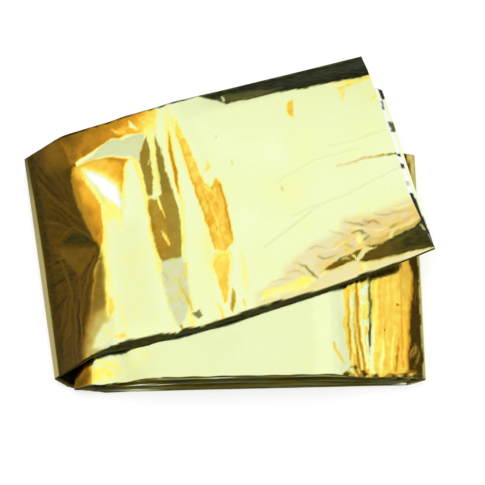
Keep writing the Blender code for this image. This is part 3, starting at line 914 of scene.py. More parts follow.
STREAK_MARKS = (
    Facet("flat behind", 0, 1, 0, 0, one_tone(0.88, (
        (-37, 84), (-33.5, 62), (-24, 56), (-8, 60), (-8, 84),
    ))),
    Facet("left strip", -0.3, 0.28, 0.65, 0.025, (
        (-42.4, 59.4, 0.69), (-41.3, 55, 0.69), (-40.8, 48, 0.69), (-39.9, 40, 0.69), (-40, 32, 0.68),
        (-41.5, 29.5, 0.7), (-42.7, 33, 0.68), (-43.8, 40, 0.69), (-45.2, 46, 0.67), (-45.8, 50, 0.67),
        (-44.2, 55, 0.68),
    )),
    Facet("right strip", -0.3, 0.28, 0.68, 0.025, one_tone(0.69, (
        (-38.8, 60.4), (-36.2, 52), (-34.6, 44), (-32, 36), (-30.5, 30), (-36.2, 31), (-37.3, 41),
        (-38.7, 50),
    ))),
    Facet("strip foot", -0.3, 0.28, 0.6, 0.03, (
        (-37.5, 31, 0.69), (-34, 33, 0.67), (-31, 31.5, 0.69), (-29.3, 26, 0.69), (-28.3, 20, 0.69),
        (-27.9, 10, 0.69), (-28.1, 1.8, 0.69), (-32, 0.9, 0.67), (-36.6, -0.3, 0.67), (-38.5, 6, 0.62),
        (-40.1, 14, 0.6), (-41.5, 23, 0.6), (-42.2, 29, 0.67),
    )),
    Facet("strip gold", 0, 1.6, 0.5, 0.05, (
        (-41.7, 28.5, 0.66), (-39, 29, 0.66), (-36.5, 24, 0.64), (-34.3, 17, 0.64), (-32.5, 10, 0.64),
        (-35.5, 2, 0.6), (-38, 6, 0.6), (-40, 15, 0.6),
    )),
    *creases("strip glint", 0.2, 0, (
        ((-37.8, 30, 0.5, 0.82), (-36.2, 25, 0.6, 0.78), (-34.8, 20.5, 0.3, 0.7)),
        ((-36.6, 14.5, 0.3, 0.72), (-35, 11.5, 0.7, 0.8), (-33.2, 8.3, 0.4, 0.74)),
    )),
    *creases("strip glint", 0.1, 0.3, (
        ((-41.3, 47.5, 0.3, 0.88), (-41.8, 45.8, 0.3, 0.88)),
        ((-35.8, 53, 0.3, 0.84), (-36.2, 50, 0.3, 0.84)),
    )),
    Crease("strip step", 0.1, 0.05, (
        (-41.3, 30.6, 0.4, 0.88), (-39.5, 30, 0.7, 0.9), (-38, 30.2, 0.5, 0.88),
    )),
    # painted reflection: a gold line at the strip's foot
    Crease("strip stain", 0.1, 0, (
        (-37.6, -0.3, 0.5, 0.74), (-36.6, -2.8, 0.6, 0.76), (-35.8, -4, 0.3, 0.8),
    )),
    Facet("ribbon", 0.4, 0.28, 0, 0.01, (
        (-41, 63, 0.82), (-38.9, 62, 0.84), (-38.4, 50, 0.83), (-37, 41, 0.82), (-36.2, 33, 0.84),
        (-37.5, 30.5, 0.86), (-39.6, 31, 0.86), (-39.6, 40, 0.81), (-40.4, 50, 0.81),
    )),
    Crease("sliver rim", 0.2, 0, (
        (-34.2, 70, 0.4, 0.82), (-32.8, 60, 1.3, 0.79), (-31.5, 50, 1.4, 0.78), (-29.9, 40, 1.2, 0.78),
        (-28.3, 32, 0.8, 0.79), (-27, 25, 0.7, 0.79), (-26.9, 18, 0.7, 0.79), (-26.7, 8, 0.7, 0.79),
        (-27.2, 2, 0.5, 0.81),
    )),
    Crease("sliver", -0.2, 0.22, (
        (-32.9, 61, 0.2, 0.6), (-31.7, 52, 0.75, 0.54), (-30.6, 45, 0.85, 0.52), (-29.6, 38, 0.7, 0.53),
        (-28.7, 32, 0.2, 0.62),
    )),
    Crease("band rim", 0.2, 0, (
        (-33.5, 73, 0.5, 0.82), (-30, 62, 0.7, 0.79), (-25.7, 48, 0.6, 0.78), (-22.6, 36, 0.5, 0.78),
    )),
    Facet("band", 0.5, 0.28, 0, 0.07, (
        (-31, 70, 0.82), (-29.5, 60, 0.75), (-25.4, 48, 0.67), (-22.4, 36, 0.68), (-18.8, 26, 0.65),
        (-15.4, 14, 0.63), (-13.5, 5, 0.64), (-8.6, 4.4, 0.66), (-5.5, 9, 0.67), (-6, 15, 0.65),
        (-8, 26, 0.63), (-10.5, 36, 0.62), (-12.5, 39, 0.66), (-14.6, 34.5, 0.69), (-17.4, 36.5, 0.68),
        (-19.3, 41, 0.71), (-23.8, 54, 0.73), (-29, 66, 0.81),
    )),
    Crease("band fold", -0.15, 0, ((-17, 33, 0.2, 0.6), (-13.5, 22, 0.3, 0.6), (-9.5, 8, 0.2, 0.61))),
    Crease("band fold", 0.15, 0, ((-13, 37, 0.3, 0.58), (-11.5, 30, 0.4, 0.62), (-9.5, 18, 0.2, 0.72))),
    *creases("band edge", 0.1, 0.1, (
        (
            (-29.5, 60, 0.15, 0.6), (-25.4, 48, 0.3, 0.58), (-22.4, 36, 0.3, 0.58), (-18.8, 26, 0.35, 0.55),
            (-15.4, 14, 0.35, 0.54), (-13.6, 5.6, 0.2, 0.58),
        ),
        ((-11.2, 37, 0.2, 0.56), (-8.6, 26, 0.35, 0.53), (-6.6, 15, 0.35, 0.54), (-6, 9.5, 0.2, 0.58)),
    )),
    Crease("band fold", 0.15, 0, ((-15.5, 28, 0.2, 0.74), (-12.6, 18, 0.45, 0.76), (-10.5, 8, 0.2, 0.74))),
    Crease("band fold", -0.1, 0, ((-19.5, 36, 0.2, 0.6), (-16.5, 27, 0.35, 0.58), (-14, 17, 0.2, 0.6))),
    Facet("band tail", 0.4, 0.25, 0, 0.03, (
        (-13.4, 3.6, 0.73), (-9, 4.4, 0.73), (-6.7, 3.5, 0.74), (-7.5, -3, 0.7), (-8.2, -10, 0.68),
        (-8.5, -19, 0.67), (-10, -19.5, 0.67), (-12, -11, 0.68), (-14.7, -1, 0.74),
    )),
    Crease("band neck", 0.3, 0, (
        (-14.6, -0.5, 0.3, 0.8), (-13.2, 3.2, 0.5, 0.79), (-8, 4.3, 0.5, 0.79), (-6.4, 3.2, 0.4, 0.79),
        (-7.2, -6, 0.3, 0.8), (-8.2, -16, 0.2, 0.82),
    )),
    # painted reflection: a small gold patch
    Facet("smudge", 0.1, 0.4, 0, 0.05, (
        (-16.6, 47.5, 0.78), (-14.9, 45, 0.76), (-15.2, 42.4, 0.75), (-17.4, 42, 0.77), (-16.4, 44.5, 0.76),
    ), 0.2),
    Facet("crumpled patch", 0.2, 0.6, 0.19, 0.06, one_tone(0.87, (
        (-37, 0.5), (-28.2, 2.2), (-26.5, -1), (-26, -8), (-24.5, -16), (-27, -27), (-30, -29),
        (-33.5, -20), (-36, -9),
    )), 0.1),
    Crease("patch fold", 0.2, 0.22, (
        (-29.5, -8, 0.3, 0.76), (-27.5, -13, 0.6, 0.73), (-25, -18, 0.7, 0.71), (-24, -22, 0.4, 0.76),
    ), 0.2),
    Crease("patch nick", 0.1, 0.05, (
        (-26, -0.2, 0.4, 0.74), (-26.3, -3.5, 0.6, 0.73), (-26.6, -6.5, 0.2, 0.78),
    ), 0.2),
    *creases("patch nick", -0.1, 0.35, (
        ((-36, -4.5, 0.3, 0.8), (-34.4, -6.6, 0.25, 0.8), (-34, -9, 0.2, 0.8)),
        ((-29.6, -16.5, 0.2, 0.8), (-28.3, -18.4, 0.3, 0.8), (-27.6, -20, 0.2, 0.8)),
    )),
    Facet("dark nick", -0.2, 0.2, 0.76, 0.05, one_tone(0.84, (
        (-24, -23.4), (-20.4, -21.6), (-19.2, -24.6), (-21.2, -25.8),
    ))),
    Crease("dark nick", -0.1, 0.6, ((-28.8, -28.8, 0.6, 0.7), (-28.3, -30.2, 0.5, 0.7))),
    Facet("gold sliver", 0.2, 0.22, 0.42, 0.02, (
        (-6.6, -12.3, 0.68), (-5.1, -15, 0.68), (-5.2, -18.5, 0.62), (-6.4, -23.2, 0.6), (-7.4, -22, 0.62),
        (-6.9, -17, 0.68),
    )),
    Crease("tail tip", 0.1, 0, (
        (-12.4, -19.6, 0.3, 0.74), (-11.4, -22.5, 0.5, 0.71), (-10.4, -26, 0.5, 0.68),
    ), 0.1),
    Crease("small sliver", 0.1, 0.1, ((-2, -17.8, 0.4, 0.72), (-1.2, -21.5, 0.3, 0.7)), 0.1),
    Crease("small sliver", 0.1, 0.25, ((7.9, -16.4, 0.4, 0.72), (8.1, -19.4, 0.45, 0.68)), 0.1),
    Crease("soft dent", 0.2, 0, (
        (-2.6, 4.5, 0.6, 0.84), (-1.2, -3, 1.4, 0.815), (-0.8, -9, 1.3, 0.82), (-0.2, -15, 0.6, 0.85),
    )),
)

BACK_MARKS = (
    Facet("back flat", 0, 1.5, 0, 0, ((-12, 62, 0.88), (62, 55, 0.88), (62, 92, 0.87), (-14, 80, 0.88))),
    Facet("orange dent", -0.4, 0.3, 0, 0.03, (
        (19.2, 74.8, 0.66), (22, 75.8, 0.7), (22, 69.2, 0.65), (22.6, 66.4, 0.72), (20.6, 67.8, 0.68),
        (19.3, 71.2, 0.67),
    )),
    Facet("back wedge", 0.2, 0.6, 0, 0.03, (
        (41, 81.8, 0.74), (47, 83.6, 0.72), (54, 85.6, 0.76), (50, 82.6, 0.86), (46, 80.4, 0.84),
        (44.8, 77, 0.78), (43.6, 74.6, 0.72), (42.8, 79, 0.74),
    ), 0.15),
    Crease("roll rim", 0.1, 0, ((38, 83.2, 0.3, 0.84), (47, 84.6, 0.7, 0.77), (57.5, 86.8, 0.7, 0.74))),
    # painted reflection: a yellow patch near the flap's end
    Facet("end stain", 0.1, 0.5, 0, 0.03, (
        (59.2, 79.6, 0.8), (59.4, 77, 0.78), (56, 72.8, 0.76), (57.6, 76.8, 0.77),
    )),
    Crease("bow crease", 0.3, 0.12, (
        (40.5, 43, 0.2, 0.84), (47, 44.8, 0.4, 0.84), (54, 46.6, 0.5, 0.82), (61, 47.9, 0.4, 0.8),
    ), 0.6),
    Crease("bow shade", -0.1, 0.55, ((55, 46.7, 0.1, 0.74), (60, 47.6, 0.3, 0.72), (64, 48.1, 0.3, 0.7))),
    Crease("bow end", -0.1, 0.88, ((62.5, 48, 0.2, 0.8), (66.5, 48.5, 0.5, 0.8))),
    Crease("speck", -0.1, 0.5, ((16.2, 34, 0.25, 0.8), (16.4, 32.4, 0.25, 0.8))),
    Crease("speck", -0.1, 0.35, ((-5.4, 46.6, 0.2, 0.8), (-5.4, 45, 0.2, 0.8))),
    Crease("speck", -0.1, 0.3, ((-12.2, 58.6, 0.2, 0.8), (-12, 57.6, 0.2, 0.8))),
    Crease("faint crease", 0.15, 0.09, (
        (37, 52.5, 0.3, 0.88), (47, 54.5, 0.3, 0.875), (55, 57.5, 0.3, 0.875), (62, 59.5, 0.2, 0.88),
    )),
    Crease("faint crease", 0.12, 0.07, ((8, 6, 0.5, 0.88), (22, 17, 0.6, 0.875), (34, 26, 0.4, 0.88))),
    *creases("faint crease", 0.12, 0.06, (
        ((20, 20, 0.5, 0.88), (45, 30, 0.6, 0.875), (68, 42, 0.4, 0.88)),
        ((14, 36, 0.3, 0.88), (30, 46, 0.4, 0.875), (50, 51, 0.3, 0.88)),
    )),
    Facet("roll", 0, 0.25, 0.985, 0, one_tone(0.8, (
        (-17, 78.2), (-10, 76), (-7.4, 74.4), (0, 75.8), (6, 77.2), (15, 79.6), (25, 81.3), (33, 82.9),
        (40, 84.3), (50, 86.3), (60, 88.2), (62, 104), (0, 94), (-26, 82.5),
    ))),
    Facet("roll shade", 0, 1.2, 0.91, 0, one_tone(0.8, (
        (-12, 77.4), (-7.6, 75), (0, 76.4), (9, 78.6), (16, 80.4), (6, 82), (-8, 80),
    ))),
    Crease("roll streak", 0.1, 0.86, ((-6, 76.6, 0.2, 0.8), (2, 77.4, 0.5, 0.8), (10, 79.6, 0.2, 0.8))),
    Crease("roll streak", 0.1, 0.9, ((-2, 79, 0.2, 0.8), (8, 80.6, 0.5, 0.8), (18, 82.6, 0.2, 0.8))),
    Crease("roll glint", 0.1, 0, ((-9.1, 78.6, 0.35, 0.95), (-8.4, 76.2, 0.35, 0.95))),
)

RELIEF_MARKS = (
    Facet("relief", 0.1, 2.2, 0.03, 0.035, (
        (78, 27.5, 0.85), (72, 27, 0.86), (62, 23.5, 0.86), (55, 20.5, 0.86), (42, 18.5, 0.86),
        (40, 12, 0.87), (30, 8, 0.87), (22, 2, 0.87), (16, -4, 0.87), (15, -9, 0.86), (4, -15, 0.85),
        (4, -22, 0.85), (30, -15, 0.84), (50, -8, 0.86), (66, -3, 0.87), (83, 3, 0.88), (80, 15, 0.84),
    ), 0.34),
    Facet("relief blush", 0.1, 1.2, 0.05, 0.085, (
        (77.5, 25, 0.82), (70, 23.5, 0.84), (62, 20, 0.84), (56, 17.5, 0.84), (48, 16.5, 0.84),
        (44, 13.5, 0.85), (38, 6, 0.85), (32, 2, 0.85), (28, -4, 0.84), (32, -7, 0.83), (46, 2, 0.82),
        (56, 8, 0.8), (66, 13, 0.78), (77, 20, 0.8),
    ), 0.5),
    Facet("relief gold", 0.1, 0.7, 0, 0.03, (
        (5, -18.5, 0.83), (7, -14, 0.8), (15, -12, 0.8), (24, -7.5, 0.79), (30, -9, 0.79), (26, -13, 0.8),
        (15, -15.8, 0.82),
    )),
    Facet("ochre facet", 0.3, 0.6, 0.2, 0.06, (
        (50.5, 8.1, 0.78), (52.6, 9.3, 0.78), (55.5, 8.9, 0.76), (58.4, 9.5, 0.74), (61.9, 11.9, 0.74),
        (62.4, 9.4, 0.72), (60.6, 7.6, 0.72), (57.3, 5.8, 0.74), (53.9, 5.9, 0.76), (51.6, 6.3, 0.78),
    ), 0.45),
    Facet("ochre facet", 0.1, 0.5, 0.36, 0.04, (
        (61.8, 9.1, 0.72), (63.3, 10.9, 0.72), (65.7, 12.4, 0.72), (69.5, 14.2, 0.74), (72.4, 15.3, 0.74),
        (76, 18.5, 0.74), (75.1, 15.7, 0.72), (72.1, 13.2, 0.72), (68.8, 11.7, 0.72), (65.6, 10.2, 0.72),
    ), 0.35),
    Facet("ochre facet", 0.2, 0.3, 0.1, 0.02, (
        (34, -1, 0.78), (38, 0.6, 0.76), (43, 2.6, 0.76), (46, 4.2, 0.78), (41, 3.8, 0.82), (36, 2, 0.82),
    ), 0.4),
    Facet("blush spot", 0.1, 0.7, 0.04, 0.05, one_tone(0.8, (
        (66.6, 15.6), (67.6, 17.6), (70.2, 18), (70.2, 16.2),
    )), 0.8),
    Facet("blush spot", 0.1, 0.7, 0.04, 0.05, one_tone(0.8, (
        (72.4, 17.4), (73.4, 19.6), (76, 20), (75.6, 18),
    )), 0.85),
    Facet("blush spot", 0.1, 1, 0.04, 0.05, one_tone(0.82, (
        (50, 14), (51, 18.2), (58, 18), (60, 14.2), (56, 11.5),
    )), 0.65),
    Crease("wedge glow", 0.1, 0.18, (
        (64, 14, 0.5, 0.76), (68, 16, 0.7, 0.76), (72, 18.4, 0.7, 0.78), (76.5, 22, 0.8, 0.8),
    ), 0.5),
    Crease("fine fold", -0.3, 0.62, (
        (42.5, 17, 0.12, 0.8), (45.4, 16.3, 0.25, 0.78), (47.9, 15.8, 0.35, 0.76), (50.2, 15.2, 0.42, 0.76),
        (52.5, 14.9, 0.15, 0.8),
    ), 0.3),
    Crease("fine fold", -0.3, 0.55, (
        (51.5, 16.9, 0.2, 0.78), (53.2, 16.5, 0.4, 0.76), (54.9, 17.2, 0.35, 0.76), (56.9, 16, 0.4, 0.76),
        (58, 14.7, 0.15, 0.8),
    ), 0.5),
    Crease("fine fold", -0.3, 0.7, (
        (45.8, 11.6, 0.25, 0.76), (47.8, 12.2, 0.4, 0.74), (49.8, 12.5, 0.5, 0.74), (50.7, 11.2, 0.5, 0.74),
        (52.1, 10.6, 0.2, 0.78),
    ), 0.3),
    Facet("fold shade", -0.2, 0.3, 0.58, 0.06, one_tone(0.74, (
        (48.7, 12.2), (50.4, 12.5), (50.9, 10.9), (50, 10.3), (49.2, 10.9),
    )), 0.3),
    Crease("fine fold", -0.2, 0.62, (
        (50.2, 7.7, 0.3, 0.76), (51.4, 8.4, 0.42, 0.74), (52.9, 9.6, 0.35, 0.74), (53.8, 10.2, 0.15, 0.78),
    ), 0.3),
    Crease("fine fold", -0.2, 0.5, ((42.1, 6.5, 0.12, 0.8), (43.8, 6, 0.35, 0.78), (46.1, 5.5, 0.2, 0.8))),
    Crease("fine fold", -0.2, 0.45, ((44.9, 4.7, 0.3, 0.8), (46.7, 4.7, 0.2, 0.8))),
    Crease("fine fold", -0.2, 0.45, (
        (62.3, 13.1, 0.3, 0.72), (63.7, 14.3, 0.6, 0.72), (65.5, 15.5, 0.2, 0.76),
    ), 0.2),
    Crease("fine fold", -0.3, 0.6, (
        (30.6, 1.4, 0.2, 0.78), (33, 0.2, 0.35, 0.76), (36, 0.2, 0.3, 0.78), (38.5, 1.6, 0.12, 0.8),
    ), 0.2),
    Crease("fine fold", -0.3, 0.8, (
        (23, -2.6, 0.2, 0.8), (25.5, -3.6, 0.5, 0.78), (26.8, -5.4, 0.4, 0.78), (28.6, -7.2, 0.6, 0.78),
        (30.4, -8.8, 0.3, 0.8),
    )),
    Crease("fine fold", -0.2, 0.5, ((20, -1.6, 0.1, 0.8), (23, -2.8, 0.2, 0.8))),
    Crease("fine fold", -0.2, 0.4, ((62, 22, 0.1, 0.8), (66, 20.6, 0.3, 0.78), (72, 21.5, 0.12, 0.8)), 0.4),
    Crease("fine fold", -0.2, 0.4, (
        (55.5, 20.4, 0.12, 0.8), (60, 19.4, 0.35, 0.78), (64.5, 20.6, 0.12, 0.8),
    ), 0.5),
    *creases("fine fold", -0.1, 0.3, (
        ((36, 13, 0.12, 0.84), (41, 11.2, 0.35, 0.82), (44.5, 9.6, 0.12, 0.84)),
        ((26, 4.4, 0.12, 0.84), (30, 5.6, 0.35, 0.83), (34.5, 4.8, 0.12, 0.84)),
        ((17.5, -6, 0.12, 0.84), (21, -5.2, 0.3, 0.83), (24.5, -6.6, 0.12, 0.84)),
    ), 0.5),
    Crease("fine fold", -0.1, 0.25, (
        (10, -10.5, 0.12, 0.84), (15, -8.6, 0.3, 0.83), (19, -8.8, 0.12, 0.84),
    ), 0.5),
    Crease("light fold", 0.2, 0, (
        (62.5, 23.4, 0.15, 0.87), (67, 22.7, 0.5, 0.89), (71.5, 24.2, 0.15, 0.87),
    ), 0.1),
    Crease("light fold", 0.2, 0, (
        (53, 13.2, 0.15, 0.86), (57, 12.4, 0.5, 0.88), (61, 13.4, 0.15, 0.87),
    ), 0.15),
    *creases("light fold", 0.2, 0, (
        ((44.5, 14, 0.15, 0.87), (48, 13.6, 0.5, 0.89), (52, 13, 0.15, 0.87)),
        ((33.5, 3.4, 0.15, 0.86), (38, 4.6, 0.4, 0.88), (43, 7.6, 0.15, 0.86)),
    ), 0.1),
    Facet("dark lens", -0.6, 0.35, 0.8, 0.07, (
        (32.6, -5.4, 0.66), (35.5, -3.2, 0.64), (38.4, -1.5, 0.64), (40.2, 0.2, 0.64), (44, 1.5, 0.64),
        (46, 2.4, 0.66), (47.8, 3.6, 0.66), (49.8, 3.9, 0.66), (48.9, 2.6, 0.64), (47.9, 0.8, 0.64),
        (47, -1.3, 0.64), (45.8, -1.6, 0.64), (42.9, -2.7, 0.62), (40, -3.9, 0.62), (36, -5.4, 0.64),
    )),
    Crease("lens light", 0.2, 0.25, (
        (41, -0.6, 0.3, 0.76), (42.7, -0.2, 0.45, 0.78), (44.4, -0.7, 0.2, 0.76),
    ), 0.4),
    Crease("lens edge", -0.2, 0.93, (
        (51.6, 5.7, 0.2, 0.7), (54.2, 5.2, 0.45, 0.7), (57.3, 5.7, 0.25, 0.7),
    )),
    Facet("dark wedge", -0.9, 0.3, 0.955, 0.03, (
        (48.3, -1.5, 0.66), (49.6, -0.1, 0.66), (51, 1.7, 0.66), (52, 2.9, 0.66), (57.6, 5.8, 0.7),
        (60.6, 7.6, 0.74), (63.2, 9.1, 0.78), (65.6, 10.2, 0.8), (68.8, 11.7, 0.8), (72.1, 13.2, 0.8),
        (75.1, 15.9, 0.8), (76.6, 20, 0.8), (79.3, 13, 0.8), (82.6, 4.3, 0.8), (77.6, 3.5, 0.74),
        (74.8, 3.1, 0.72), (68.9, 1.7, 0.7), (60.3, -0.1, 0.66), (54.5, -1.5, 0.66), (51.6, -2, 0.66),
    )),
    Facet("wedge middle", 0, 1.6, 0.91, 0.04, (
        (58, 5, 0.64), (61.5, 7.6, 0.64), (66.6, 9.6, 0.66), (67.6, 1.4, 0.66), (60.3, -0.1, 0.64),
        (57, -0.8, 0.64),
    )),
    Facet("wedge root", 0, 1.4, 0.86, 0.04, (
        (48.3, -1.5, 0.62), (51, 1.7, 0.62), (52, 2.6, 0.62), (57.6, 5.8, 0.62), (61.7, 7.3, 0.64),
        (63.2, 1.1, 0.64), (54.5, -1.5, 0.62),
    )),
    Crease("wedge fold", 0.2, 0.9, ((62, 5.4, 0.2, 0.7), (67, 8.4, 0.6, 0.7), (72, 11.4, 0.3, 0.74))),
    Crease("wedge fold", 0.2, 0.88, ((60, 1.2, 0.2, 0.66), (68, 3.2, 0.5, 0.66), (77, 4.9, 0.3, 0.68))),
    Crease("end rim", 0.2, 0.25, (
        (75.6, 14.6, 0.25, 0.86), (77.2, 12.7, 0.4, 0.86), (79.2, 11.8, 0.4, 0.86),
    )),
    Facet("star yellow", 0.2, 0.5, 0, 0.03, (
        (47.7, 10.7, 0.8), (49.7, 9.7, 0.79), (50.1, 7.5, 0.79), (49.6, 6, 0.8), (47.9, 6.7, 0.8),
        (47.4, 9.4, 0.81),
    )),
    Facet("star yellow", 0.1, 0.4, 0, 0.02, (
        (48.9, -2.9, 0.8), (51.5, -3.2, 0.79), (51.9, -4.8, 0.79), (50.8, -6.3, 0.79), (49.7, -5.9, 0.79),
    )),
    *creases("star ray", 0.3, 0.03, (
        ((48.1, -1.3, 0.35, 0.85), (50, 0.8, 0.6, 0.84), (50.9, 2.6, 0.5, 0.84), (50.2, 4.5, 0.2, 0.83)),
        ((51.8, 3.5, 0.4, 0.84), (53.5, 4.1, 0.45, 0.84), (55.9, 4.6, 0.15, 0.82)),
    ), 0.3),
    Crease("star ray", 0.3, 0, ((45.1, 1.5, 0.2, 0.8), (46.1, 0.7, 0.5, 0.85), (47.9, -1.2, 0.4, 0.88))),
    Crease("star ray", 0.3, 0.05, (
        (61.8, 8.8, 0.2, 0.84), (63.1, 10.3, 0.5, 0.86), (63.9, 12.1, 0.15, 0.84),
    ), 0.2),
    Crease("gold fleck", 0.1, 0, ((33.6, -5.8, 0.5, 0.78), (31.6, -8.2, 0.3, 0.8))),
)

FLAP_MARKS = SLOPE_MARKS + CREST_MARKS + STREAK_MARKS + BACK_MARKS + RELIEF_MARKS

# Dents and the gap at the free end, painted dark as shade.
END_MARKS = (
    Facet("end dent", -0.2, 0.15, 0.96, 0, one_tone(0.8, (
        (59.8, 81.2), (62.2, 81.4), (63.6, 76), (61.2, 75.4),
    ))),
    Facet("end dent", -0.2, 0.2, 0.8, 0.02, one_tone(0.7, (
        (60.4, 74.6), (61.6, 74.6), (62.4, 70.2), (61.4, 70.2),
    ))),
    Facet("end dent", -0.2, 0.2, 0.85, 0.02, one_tone(0.8, (
        (63.8, 63.8), (66.2, 64.2), (67.4, 59.4), (65, 59),
    ))),
    Facet("end dent", -0.2, 0.15, 0.94, 0, one_tone(0.8, (
        (66.6, 48.8), (68.6, 48.6), (68.8, 47), (67, 47),
    ))),
    Facet("end dent", -0.2, 0.15, 0.94, 0, one_tone(0.8, (
        (68, 43.6), (69.8, 43.8), (70.2, 41.8), (68.4, 41.6),
    ))),
    Facet("end dent", -0.2, 0.2, 0.4, 0, one_tone(0.88, (
        (70, 35), (71.6, 35), (71.8, 33.4), (70.4, 33.4),
    ))),
    Facet("end gap", -0.2, 0.2, 0.975, 0.01, one_tone(0.86, (
        (71.4, 30.2), (73, 30), (75.2, 23.5), (77.2, 17.5), (79.4, 12), (83.5, 4.5), (81, 2), (79, 8),
        (77, 13.5), (75, 17), (73, 23),
    ))),
)

